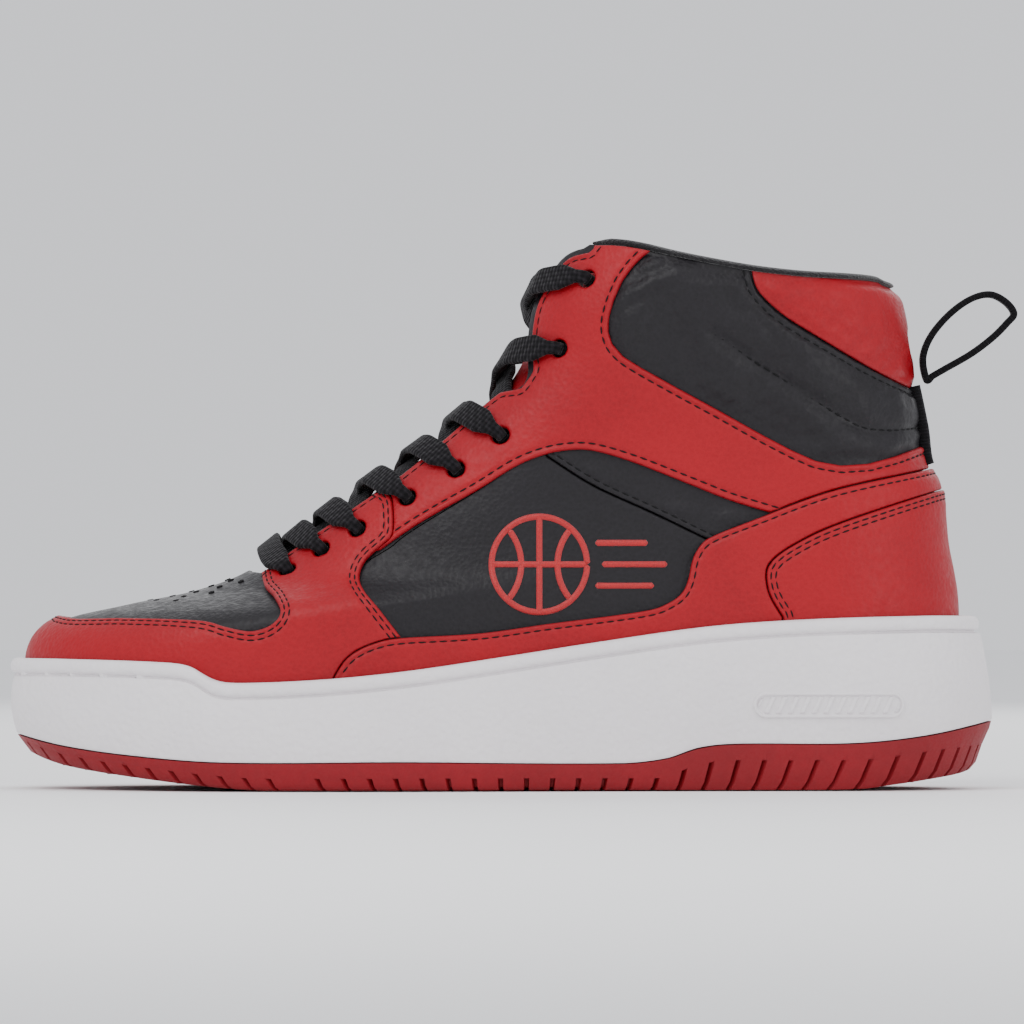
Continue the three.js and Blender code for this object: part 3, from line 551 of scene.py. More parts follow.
def outward(made):
    """Turns a closed piece's faces outwards."""
    work = bmesh.new()
    work.from_mesh(made.data)
    bmesh.ops.recalc_face_normals(work, faces=work.faces)
    work.to_mesh(made.data)
    work.free()
    return made


# ---- Materials ----


class Finish:
    """A Principled material under construction."""

    def __init__(self, name, roughness=0.5, specular=0.5, **constants):
        self.material = bpy.data.materials.new(name)
        self.material.use_nodes = True
        self.tree = self.material.node_tree
        self.surface = self.tree.nodes["Principled BSDF"]
        self.surface.inputs["Roughness"].default_value = roughness
        self.surface.inputs["Specular IOR Level"].default_value = specular
        for socket, value in constants.items():
            self.surface.inputs[socket.replace("_", " ")].default_value = value

    def node(self, kind, settings=None, output=0, **inputs):
        made = self.tree.nodes.new(kind)
        for key, value in (settings or {}).items():
            setattr(made, key, value)
        for key, value in inputs.items():
            index = int(key[1:]) if key[0] == "i" and key[1:].isdigit() else key.replace("_", " ")
            if isinstance(value, bpy.types.NodeSocket):
                self.tree.links.new(value, made.inputs[index])
            else:
                made.inputs[index].default_value = value
        return made.outputs[output]

    def place(self):
        return self.node("ShaderNodeTexCoord", output=3)

    def noise(self, scale, detail=3.0):
        return self.node("ShaderNodeTexNoise", Vector=self.place(), Scale=scale, Detail=detail)

    def cells(self, scale, feature="F1"):
        return self.node("ShaderNodeTexVoronoi", {"feature": feature}, Vector=self.place(), Scale=scale)

    def wave(self, scale, direction):
        """Bands along the UV map."""
        return self.node("ShaderNodeTexWave", {"bands_direction": direction}, output=1,
                         Vector=self.node("ShaderNodeUVMap"), Scale=scale)

    def math(self, operation, a, b=0.5):
        return self.node("ShaderNodeMath", {"operation": operation}, i0=a, i1=b)

    def span(self, value, low, high, to_low=0.0, to_high=1.0):
        return self.node("ShaderNodeMapRange", i0=value, i1=low, i2=high, i3=to_low, i4=to_high)

    def mix(self, factor, a, b):
        return self.node("ShaderNodeMix", {"data_type": "RGBA"}, output=2, i0=factor, i6=a, i7=b)

    def edge(self):
        """0 at a panel's edge and 1 well inside it."""
        return self.node("ShaderNodeAttribute", {"attribute_name": "edge"}, output=2)

    def finish(self, colour=None, roughness=None, bumps=()):
        links = self.tree.links
        if colour is not None:
            links.new(colour, self.surface.inputs["Base Color"])
        if roughness is not None:
            links.new(roughness, self.surface.inputs["Roughness"])
        normal = None
        for height, strength, distance in bumps:
            bump = self.tree.nodes.new("ShaderNodeBump")
            bump.inputs["Strength"].default_value = strength
            bump.inputs["Distance"].default_value = distance * MM
            links.new(height, bump.inputs["Height"])
            if normal is not None:
                links.new(normal, bump.inputs["Normal"])
            normal = bump.outputs[0]
        if normal is not None:
            links.new(normal, self.surface.inputs["Normal"])
        return self.material


def shade(r, g, b):
    """Linear colour of a surface's red, green and blue out of 255."""
    linear = [((c / 255 + 0.055) / 1.055) ** 2.4 if c > 10 else c / 255 / 12.92 for c in (r, g, b)]
    return (*linear, 1.0)


def leather(name, colour, dark, worn, roughness):
    """Grained leather, darker at cut edges, with soft folds and colour that drifts."""
    made = Finish(name, roughness, 0.3)
    drift = made.noise(28.0, 4.0)
    fine = made.noise(420.0, 4.0)
    base = made.mix(made.span(drift, 0.4, 0.8, 0.0, 0.5), colour, dark)
    grain = made.cells(760.0)
    base = made.mix(made.span(grain, 0.25, 0.75, 0.0, 0.3), base, worn)
    base = made.mix(made.span(made.edge(), 0.0, 0.16, 0.55, 0.0), base, dark)
    rough = made.span(fine, 0.3, 0.75, roughness - 0.08, roughness + 0.12)
    return made.finish(base, rough, [(drift, 0.3, 1.5), (grain, 0.5, 0.24), (fine, 0.35, 0.18)])


RED_LEATHER = leather("red_leather", shade(152, 2, 20), shade(112, 2, 14), shade(164, 6, 26), 0.5)
RED_PADDED = leather("red_padded", shade(148, 2, 19), shade(108, 2, 13), shade(160, 6, 24), 0.52)
BLACK_LEATHER = leather("black_leather", shade(19, 16, 20), shade(7, 6, 8), shade(30, 27, 32), 0.48)


def rubber(name, colour, dark, roughness, pebble):
    """Moulded rubber with a pebbled skin."""
    made = Finish(name, roughness, 0.4)
    drift = made.noise(22.0, 4.0)
    pebbles = made.cells(520.0, "SMOOTH_F1")
    specks = made.noise(1500.0, 2.0)
    base = made.mix(made.span(drift, 0.35, 0.72, 0.0, 0.6), colour, dark)
    base = made.mix(made.span(pebbles, 0.1, 0.7, 0.0, 0.25), base, dark)
    rough = made.span(specks, 0.3, 0.7, roughness - 0.06, roughness + 0.08)
    return made.finish(base, rough, [(pebbles, pebble, 0.35), (specks, 0.15, 0.05)])


WHITE_RUBBER = rubber("white_rubber", shade(238, 234, 236), shade(224, 219, 222), 0.6, 1.0)
RED_RUBBER = rubber("red_rubber", shade(140, 6, 22), shade(110, 3, 14), 0.62, 0.2)


def textile(name, colour, dark, scale):
    """Knitted mesh with small open cells."""
    made = Finish(name, 0.9, 0.2, Sheen_Weight=0.25, Sheen_Roughness=0.5)
    knit = made.cells(scale)
    fibre = made.noise(scale * 3.2, 3.0)
    base = made.mix(made.span(knit, 0.1, 0.6), dark, colour)
    return made.finish(base, None, [(knit, 0.7, 0.4), (fibre, 0.4, 0.15)])


LINING_TEXTILE = textile("lining_textile", shade(26, 23, 27), shade(8, 7, 9), 620.0)
BINDING_TEXTILE = textile("binding_textile", shade(20, 18, 21), shade(9, 8, 10), 1400.0)


def woven(name, colour, dark, along, across):
    """Narrow woven goods; the UV map runs in millimetres, along and then across."""
    made = Finish(name, 0.85, 0.15, Sheen_Weight=0.08, Sheen_Roughness=0.45)
    weft = made.wave(along, "X")
    warp = made.wave(across, "Y")
    skew = made.wave((along + across) / 2.6, "DIAGONAL")
    weave = made.math("MULTIPLY", made.math("ADD", weft, warp), made.span(skew, 0.0, 1.0, 0.45, 1.0))
    base = made.mix(made.span(weave, 0.2, 1.5), dark, colour)
    return made.finish(base, None, [(weave, 0.8, 0.3), (made.noise(2200.0), 0.3, 0.06)])


LACE_BRAID = woven("lace_braid", shade(30, 27, 31), shade(6, 5, 7), 0.22, 0.2)
WEBBING_WEAVE = woven("webbing_weave", shade(24, 22, 26), shade(6, 5, 7), 0.3, 0.17)


def plain(name, colour, dark, roughness, scale, bump, **constants):
    """One even colour with a fine grain."""
    made = Finish(name, roughness, 0.4, **constants)
    grain = made.noise(scale, 4.0)
    return made.finish(made.mix(made.span(grain, 0.3, 0.7), colour, dark), None, [(grain, bump, 0.3)])


# Dark maroon thread, darkened further to near black: the extra darkness is painted shade of the stitch holes
# the stitches sit in.
RED_THREAD_AND_HOLE_SHADE = plain("red_thread_and_hole_shade", shade(20, 2, 5), shade(10, 1, 3), 0.9, 2600.0, 0.4)
SATIN_THREAD = plain("satin_thread", shade(190, 8, 18), shade(140, 4, 12), 0.38, 2600.0, 0.4,
                     Sheen_Weight=0.4)
BLACK_THREAD = plain("black_thread", shade(5, 4, 6), shade(2, 2, 3), 0.9, 2600.0, 0.4)
FOAM = plain("open_cell_foam", shade(212, 204, 188), shade(188, 180, 162), 0.95, 900.0, 0.8)
DARK_FOAM = plain("dark_foam", shade(44, 42, 46), shade(28, 26, 30), 0.95, 900.0, 0.8)
BOARD = plain("fibre_board", shade(186, 168, 136), shade(160, 142, 112), 0.9, 500.0, 0.4)
AGLET_PLASTIC = plain("aglet_plastic", shade(30, 29, 32), shade(20, 19, 21), 0.25, 300.0, 0.1,
                      Coat_Weight=0.5)
HOLE_DARK = plain("hole_shadow", shade(16, 14, 17), shade(8, 7, 9), 0.95, 900.0, 0.3)


# ---- Camera, lights and floor ----

VIEW_WIDTH = 0.3141
CAMERA_AWAY = 4.0
SENSOR_WIDTH = 36
camera_data = bpy.data.cameras.new("camera")
camera_data.sensor_width = SENSOR_WIDTH
camera_data.lens = SENSOR_WIDTH * CAMERA_AWAY / VIEW_WIDTH
camera_data.clip_end = 20
camera = bpy.data.objects.new("camera", camera_data)
bpy.context.collection.objects.link(camera)
camera.location = (-0.0003, -CAMERA_AWAY, 0.0844)
camera.rotation_euler = (math.pi / 2, 0, 0)
bpy.context.scene.camera = camera


def area_light(name, place, aim, size, power):
    light = bpy.data.lights.new(name, "AREA")
    light.size = size
    light.energy = power
    made = bpy.data.objects.new(name, light)
    bpy.context.collection.objects.link(made)
    made.location = place
    made.rotation_euler = (Vector(aim) - Vector(place)).to_track_quat("-Z", "Y").to_euler()


area_light("key_light", (-0.5, -1.0, 1.2), (0, 0, 0.06), 1.2, 15)
area_light("side_light", (1.1, -0.9, 0.5), (0, 0, 0.07), 0.9, 5)
area_light("back_light", (0.3, 1.2, 0.9), (0, 0, 0.05), 1.4, 8)
world = bpy.data.worlds.new("studio")
world.use_nodes = True
world.node_tree.nodes["Background"].inputs[0].default_value = (0.95, 0.96, 1.0, 1)
world.node_tree.nodes["Background"].inputs[1].default_value = 1.0
bpy.context.scene.world = world

FLOOR_HALF = 4.0
FLOOR_DROP = 0.0004  # keeps the floor clear of the sole
floor_mesh = bpy.data.meshes.new("floor")
floor_mesh.from_pydata(
    [(x * FLOOR_HALF, y * FLOOR_HALF, -FLOOR_DROP) for x, y in ((-1, -1), (1, -1), (1, 1), (-1, 1))],
    [], [(0, 1, 2, 3)])
floor = bpy.data.objects.new("floor", floor_mesh)
bpy.context.collection.objects.link(floor)
floor_finish = Finish("pale_floor", 0.7, 0.2)
floor_mesh.materials.append(floor_finish.finish(floor_finish.mix(
    floor_finish.noise(3.0), shade(250, 250, 250), shade(246, 246, 247))))


# ---- Lace: one flat braid, straight across the first eyelets and then crossing at each row ----

EYELETS = [
    [-68, 65.5], [-57.5, 72.2], [-46.6, 78.6], [-31.8, 88.4],
    [-17, 97], [-3.4, 107.3], [14.6, 134], [23, 155],
]
EYELET_RADIUS = 2.8
LACE_WIDTH = 8.4
LACE_THICKNESS = 1.8  # a full braid; the frame carries its flat core
LACE_OVER = 3.45  # heights of the lace's middle off the form
LACE_UNDER = -2.88
LACE_INSIDE = -5.55
LACE_GATHERED = 4.4  # widths beside an eyelet and in it
LACE_IN_HOLE = 3.8
CROSSING_UPPER = -0.6
CROSSING_LOWER = -2.6
TAIL_WIDTH = 6
TAIL = [[26, 150], [29.5, 142], [30, 128], [26, 112], [24, 96], [22, 80], [20.5, 66]]
eyelet_places = list(zip(*(part.tolist() for part in form_place(*np.array(EYELETS).T))))


def ridge_level(place):
    """Level at which the front ridge comes nearest to a side-view place."""
    levels = np.arange(0, TOP_LEVEL + 0.01, 0.05)
    return float(levels[np.argmin(np.linalg.norm(level_of(FRONT, levels) - np.array(place, float), axis=1))])


ridge_levels = [ridge_level(place) for place in EYELETS]


def bar(row, side, crossing):
    """One bar from under the eyestay at a row, over into the next row's opposite eyelet.

    Stations are (share of the way, height, width); each row of the lace is (level, step, height, width,
    1 where it hangs inside the shoe).
    """
    from_level, from_step = eyelet_places[row]
    to_level, to_step = eyelet_places[row + 1]
    rise = (ridge_levels[row] + ridge_levels[row + 1] - from_level - to_level) / 2
    stations = [
        (0.045, LACE_UNDER, LACE_GATHERED), (0.11, LACE_UNDER, LACE_WIDTH), (0.19, LACE_UNDER, LACE_WIDTH),
        (0.25, LACE_UNDER, LACE_WIDTH), (0.31, LACE_UNDER, LACE_WIDTH),
        (0.4, (LACE_UNDER + crossing) / 2, LACE_WIDTH), (0.5, crossing, LACE_WIDTH),
        (0.62, (LACE_OVER + crossing) / 2 + 0.6, LACE_WIDTH), (0.73, LACE_OVER, LACE_WIDTH),
        (0.81, LACE_OVER, LACE_WIDTH), (0.89, LACE_OVER, LACE_WIDTH), (0.96, LACE_OVER, LACE_GATHERED),
    ]
    return [
        (from_level + (to_level - from_level) * part + rise * 4 * part * (1 - part),
         -side * from_step + side * (to_step + from_step) * part, height, width, 0)
        for part, height, width in stations
    ]


def through(row, side):
    """Down through an eyelet."""
    level, step = eyelet_places[row]
    return [(level, side * step, height, LACE_IN_HOLE, 0)
            for height in (LACE_OVER - 0.9, 0.6, LACE_UNDER + 0.4)]


def strand(side, crossing):
    """One end's way up all the rows, and its tail inside the shoe."""
    rows = through(0, side)
    for row in range(len(EYELETS) - 1):
        rows += bar(row, -side, crossing)
        side = -side
        rows += through(row + 1, side)
    tail = zip(*(part.tolist() for part in form_place(*np.array(TAIL, float).T)))
    level, step = eyelet_places[-1]
    rows.append((level, side * step, LACE_INSIDE + 1, LACE_IN_HOLE, 0))
    return rows + [(level, side * step, LACE_INSIDE, TAIL_WIDTH, 1) for level, step in tail]


def lace_rows():
    level, step = eyelet_places[0]
    first = [
        (level + (ridge_levels[0] - level) * (1 - part * part), step * part, LACE_OVER,
         5.5 if abs(part) > 0.9 else LACE_WIDTH, 0)
        for part in (-0.92, -0.78, -0.6, -0.4, -0.2, 0, 0.2, 0.4, 0.6, 0.78, 0.92)
    ]
    return strand(-1, CROSSING_UPPER)[::-1] + first + strand(1, CROSSING_LOWER)


def flat_section(width, thickness):
    """Flat band's section: rounded at its edges, as [across, up]."""
    half, deep = width / 2, thickness / 2
    right = [(half - deep * (1 - a), deep * b) for a, b in ((1, 0), (0.8, 0.6), (0.35, 0.93))]
    top = [(half * f, deep) for f in (0.72, 0.3, -0.3, -0.72)]
    upper = right + top + [(-x, y) for x, y in right[::-1]]
    return upper + [(-x, -y) for x, y in upper[1:-1]]


def ribbon(name, middles, across, widths, thickness, material, closed=False, **kinds):
    """A woven band along its middle line; its UV map runs in millimetres."""
    tangent = np.gradient(middles, axis=0)
    if closed:
        tangent = np.roll(middles, -1, 0) - np.roll(middles, 1, 0)
    tangent /= np.linalg.norm(tangent, axis=1, keepdims=True)
    across = across - tangent * (across * tangent).sum(1, keepdims=True)
    across /= np.linalg.norm(across, axis=1, keepdims=True)
    thick = np.cross(across, tangent)
    rings = []
    for middle, side, up, width in zip(middles, across, thick, widths):
        section = np.array(flat_section(width, thickness))
        rings.append(middle + section[:, :1] * side + section[:, 1:] * up)
    count = len(rings[0])
    if closed:
        points, faces = loft(rings, close=False)
    else:
        points = np.concatenate(rings)
        faces = tube_faces(len(rings), count)
    made = mesh_object(name, points, faces, material, 60, **kinds)
    outward(made)
    run = np.concatenate([[0], np.cumsum(np.linalg.norm(np.diff(middles, axis=0), axis=1))])
    place = np.array([(run[i // count], np.array(flat_section(widths[i // count], thickness))[i % count, 0])
                      for i in range(len(points))])
    layer = made.data.uv_layers.new(name="weave")
    corners = np.zeros(len(made.data.loops), int)
    made.data.loops.foreach_get("vertex_index", corners)
    layer.data.foreach_set("uv", place[corners].ravel())
    return made


def make_lace():
    """The whole lace as one ribbon, flat to the form except where its tails hang."""
    rows = lace_rows()
    level = np.array([r[0] for r in rows])
    step = np.array([r[1] for r in rows])
    height = np.array([r[2] for r in rows])
    hangs = np.array([r[4] for r in rows])[:, None]
    middle = form_point(level, step) + form_normal(level, step) * height[:, None]
    up = form_point(level + 0.1, step) - form_point(level - 0.1, step)
    round_about = form_point(level, step + 0.1) - form_point(level, step - 0.1)
    across = np.where(hangs, round_about, up)
    across /= np.linalg.norm(across, axis=1, keepdims=True)
    for i in range(1, len(across)):
        if (across[i] * across[i - 1]).sum() < 0:
            across[i] = -across[i]
    t = np.linspace(0, len(rows) - 1, (len(rows) - 1) * 4 + 1)
    fine = level_of(middle, t)
    widths = np.interp(t, np.arange(len(rows)), [r[3] for r in rows])
    lace = ribbon("lace_braid", fine, level_of(across, t), widths, LACE_THICKNESS, LACE_BRAID,
                  nodes=["lace"], slot="black_lace")


make_lace()

# ---- Upper ----

GAP = 0.3
SKIN = 1.2
BAND_BASE = 0.3
MUDGUARD_BASE = 0.7
FOXING_BASE = 1.1
PATCH_BASE = 1.7
LEATHER = 1.4
LINING_OUT = -2.7
LINING = 0.9
LINING_SETBACK = 19
TONGUE_OUT = -4.4
TONGUE_FOAM = 3.9
TONGUE_LEAN = 5
TONGUE_DROP = 2.3  # how far its face sinks at its edge
BACK_SEAM = 13.985  # last step before the seam down the back
SIDES = (("lateral", -1), ("medial", 1))
eyelet_middles = np.array([
    form_point(level, side * step) for level, step in eyelet_places for side in (-1, 1)])


def eyelet_edge(p, n):
    """Distance outside the nearest eyelet's edge."""
    best = np.full(len(p), 1e3)
    for middle in eyelet_middles:
        away = p - middle
        away = away - n * (away * n).sum(1, keepdims=True)
        best = np.minimum(best, np.linalg.norm(away, axis=1))
    return best - EYELET_RADIUS


def flap_inset(p, n):
    """The red flap stands back from the throat and shows the black edge under it."""
    return outside(THROAT_OPEN)(p, n) - 1.7 * smooth((p[:, 2] - 123) / 5)


def profile(f, rows):
    """Height at a distance inside an edge."""
    return np.interp(f, [r[0] for r in rows], [r[1] for r in rows])


# Profiles of a panel's edge as (distance inside it, height): cut, folded over, and pressed by stitches.
CUT_EDGE = [(0, -0.5), (0.15, -0.24), (0.4, -0.06), (0.9, 0)]
FOLDED_EDGE = [(0, -0.9), (0.15, -0.5), (0.4, -0.18), (0.8, 0), (1.3, -0.05), (1.75, -0.34), (2.15, -0.42),
               (2.6, -0.26), (3.2, -0.04), (4, 0)]
TWO_ROWS = [(0, -0.7), (0.15, -0.34), (0.4, -0.1), (0.9, -0.06), (1.3, -0.26), (1.75, -0.08), (2.3, -0.06),
            (2.8, -0.28), (3.3, -0.08), (4.2, 0)]
ONE_ROW = [(0, -0.7), (0.15, -0.34), (0.4, -0.1), (0.9, -0.04), (1.35, -0.14), (1.7, -0.32), (2.1, -0.16),
           (2.7, -0.02), (3.4, 0)]
HOLE_EDGE = [(0, -0.5), (0.25, -0.2), (0.7, 0)]


def at_lines(rows):
    """Distances of a profile, where a sheet needs lines of points to carry it."""
    return [r[0] for r in rows[1:]]


rows_red = []
rows_black = []
rows_tongue = []


def crinkle(p, amount, size=9.0):
    """Slight unevenness of worn leather, the same at each run."""
    a, b, c = (p / size).T
    wave = np.sin(1.3 * a + 0.7 * c + 0.9 * np.sin(0.8 * b + 0.5 * c)) * np.sin(0.9 * c - 0.6 * a + 1.7)
    return amount * (wave + 0.45 * np.sin(2.9 * a + 1.1) * np.sin(2.3 * c + 1.9 * b))


def make_overlays():
    """The red leather on top of the panels, with its rows of stitches."""
    fields = [inside(MUDGUARD), outside(THROAT_OPEN), outside(FOXING, GAP), eyelet_edge]
    sheet = Sheet((0, 11, -8.2, 8.2), fields, MUDGUARD_BASE + LEATHER, 1.35,
                  [at_lines(TWO_ROWS), at_lines(ONE_ROW), [0.4], at_lines(HOLE_EDGE)])
    f = sheet.values.T
    height = MUDGUARD_BASE + LEATHER + np.minimum.reduce([
        profile(f[0], TWO_ROWS), profile(f[1], ONE_ROW), profile(f[2], CUT_EDGE), profile(f[3], HOLE_EDGE)])
    height = height + crinkle(sheet.point, 0.12) * smooth(f.min(0) / 5)
    shell_of("toe_mudguard", sheet, MUDGUARD_BASE, height, RED_LEATHER, nodes=["toe_overlay"],
             slot="red_leather")
    low = lambda p: p[:, 2] > 40
    rows_red.extend(sheet.row(0, 1.3, height, low, 0.7))
    rows_red.extend(sheet.row(0, 2.8, height, low, 0.7))
    rows_red.extend(sheet.row(1, 1.7, height, None, 0.7))
    for side_name, side in SIDES:
        ends = sorted((0, side * BACK_SEAM))
        fields = [inside(BAND), flap_inset, outside(ABOVE_TOPLINE), outside(MUDGUARD, GAP),
                  outside(FOXING, GAP), eyelet_edge]
        top = BAND_BASE + SKIN
        sheet = Sheet((3, 15, *ends), fields, top, 1.3,
                      [at_lines(FOLDED_EDGE), at_lines(FOLDED_EDGE), [0.4], [0.4], [0.4],
                       at_lines(HOLE_EDGE)])
        f = sheet.values.T
        height = top + np.minimum.reduce([
            profile(f[0], FOLDED_EDGE), profile(f[1], FOLDED_EDGE), profile(f[2], CUT_EDGE),
            profile(f[3], CUT_EDGE), profile(f[4], CUT_EDGE), profile(f[5], HOLE_EDGE)])
        height = height + crinkle(sheet.point + 40, 0.12) * smooth(f.min(0) / 5)
        shell_of("eyestay_band_" + side_name, sheet, BAND_BASE, height, RED_LEATHER,
                 nodes=["eyestay_" + side_name], slot="red_leather")
        rows_red.extend(sheet.row(0, 2.15, height))
        rows_red.extend(sheet.row(1, 2.15, height))
        fields = [inside(FOXING), outside(PATCH, GAP)]
        top = FOXING_BASE + LEATHER
        sheet = Sheet((0, 11, *ends), fields, top, 1.4, [at_lines(ONE_ROW), [0.4]])
        f = sheet.values.T
        height = top + np.minimum(profile(f[0], ONE_ROW), profile(f[1], CUT_EDGE))
        height = height + crinkle(sheet.point + 80, 0.12) * smooth(f.min(0) / 5)
        shell_of("heel_foxing_" + side_name, sheet, FOXING_BASE, height, RED_LEATHER,
                 nodes=["foxing_" + side_name], slot="red_leather")
        rows_red.extend(sheet.row(0, 1.7, height, lambda p: p[:, 2] > 36))
    top = PATCH_BASE + LEATHER
    sheet = Sheet((0, 10, 8, 20), [inside(PATCH)], top, 1.4, [at_lines(TWO_ROWS)])
    height = top + profile(sheet.values[:, 0], TWO_ROWS)
    height = height + crinkle(sheet.point + 120, 0.1) * smooth(sheet.values[:, 0] / 5)
    shell_of("heel_cap", sheet, PATCH_BASE, height, RED_LEATHER, nodes=["heel_patch"], slot="red_leather")
    rows_red.extend(sheet.row(0, 1.3, height, lambda p: p[:, 2] > 50))
    rows_red.extend(sheet.row(0, 2.8, height, lambda p: p[:, 2] > 50))


make_overlays()


def line_distance(line, p):
    """Distance to an open line in side view."""
    best = np.full(len(p), 1e9)
    for (ax, az), (bx, bz) in zip(line[:-1], line[1:]):
        dx, dz = bx - ax, bz - az
        t = np.clip(((p[:, 0] - ax) * dx + (p[:, 2] - az) * dz) / (dx * dx + dz * dz), 0, 1)
        best = np.minimum(best, np.hypot(p[:, 0] - ax - t * dx, p[:, 2] - az - t * dz))
    return best


BAND_PUFF = 1.3  # most that each padded panel is lifted
ANKLE_PUFF = 2.2
COLLAR_PUFF = 1.6
ANKLE_CREASE = spline([
    [61, 138.6], [66.1, 135.3], [73, 130.4], [82.5, 124.5], [91.7, 118.4], [101.2, 112.7], [107.4, 109.9],
    [116.9, 109.3], [125.5, 110.5],
])


def swell(sheet, clear, region, cap):
    """How far the foam under a panel lifts it, from pressure in a coarse sheet held at its seams."""
    levels = np.linspace(region[0], region[1], 34)
    steps = np.linspace(region[2], region[3], 40)
    L, S = np.meshgrid(levels, steps, indexing="ij")
    p = form_point(L.ravel(), S.ravel())
    n = form_normal(L.ravel(), S.ravel())
    f = clear(p, n)
    lift = blown(p, n, f, L.shape, cap)
    u = np.interp(sheet.level, levels, np.arange(len(levels)))
    v = np.interp(sheet.step, steps, np.arange(len(steps)))
    i = np.minimum(u.astype(int), len(levels) - 2)
    j = np.minimum(v.astype(int), len(steps) - 2)
    u, v = u - i, v - j
    grid = lift.reshape(L.shape)
    return ((grid[i, j] * (1 - v) + grid[i, j + 1] * v) * (1 - u)
            + (grid[i + 1, j] * (1 - v) + grid[i + 1, j + 1] * v) * u)


def blown(p, n, f, shape, cap):
    """Cloth under pressure, held where f is small, as heights off where it began."""
    rows, columns = shape
    faces = [[i * columns + j, i * columns + j + 1, (i + 1) * columns + j + 1, (i + 1) * columns + j]
             for i in range(rows - 1) for j in range(columns - 1)]
    mesh = bpy.data.meshes.new("swelling")
    mesh.from_pydata((p * MM).tolist(), [], faces)
    work = bpy.data.objects.new("swelling", mesh)
    bpy.context.collection.objects.link(work)
    if (np.array(mesh.polygons[len(faces) // 2].normal) * n[len(p) // 2]).sum() < 0:
        mesh.flip_normals()
    held = work.vertex_groups.new(name="held")
    for index in np.flatnonzero(f < 2.5):
        held.add([int(index)], 1.0, "REPLACE")
    cloth = work.modifiers.new("cloth", "CLOTH")
    cloth.settings.quality = 6
    cloth.settings.mass = 0.25
    cloth.settings.vertex_group_mass = "held"
    cloth.settings.tension_stiffness = 6
    cloth.settings.compression_stiffness = 6
    cloth.settings.shear_stiffness = 3
    cloth.settings.bending_stiffness = 0.4
    cloth.settings.shrink_min = -0.04
    cloth.settings.use_pressure = True
    cloth.settings.uniform_pressure_force = 2.5
    cloth.settings.effector_weights.gravity = 0
    cloth.collision_settings.use_collision = False
    cloth.point_cache.frame_end = 20
    scene = bpy.context.scene
    for number in range(1, 17):
        scene.frame_set(number)
    settled = work.evaluated_get(bpy.context.evaluated_depsgraph_get())
    now = np.array([v.co for v in settled.data.vertices]) / MM
    bpy.data.objects.remove(work)
    scene.frame_set(1)
    lift = ((now - p) * n).sum(1)
    lift = np.where(np.isfinite(lift), lift, 0)
    return np.clip(lift, 0, cap) * smooth(f / 4)


def panel_clear(*outlines):
    """Distance outside the nearest of some outlines."""
    return lambda p, n: np.minimum.reduce([-surface_distance(o, p, n) for o in outlines])


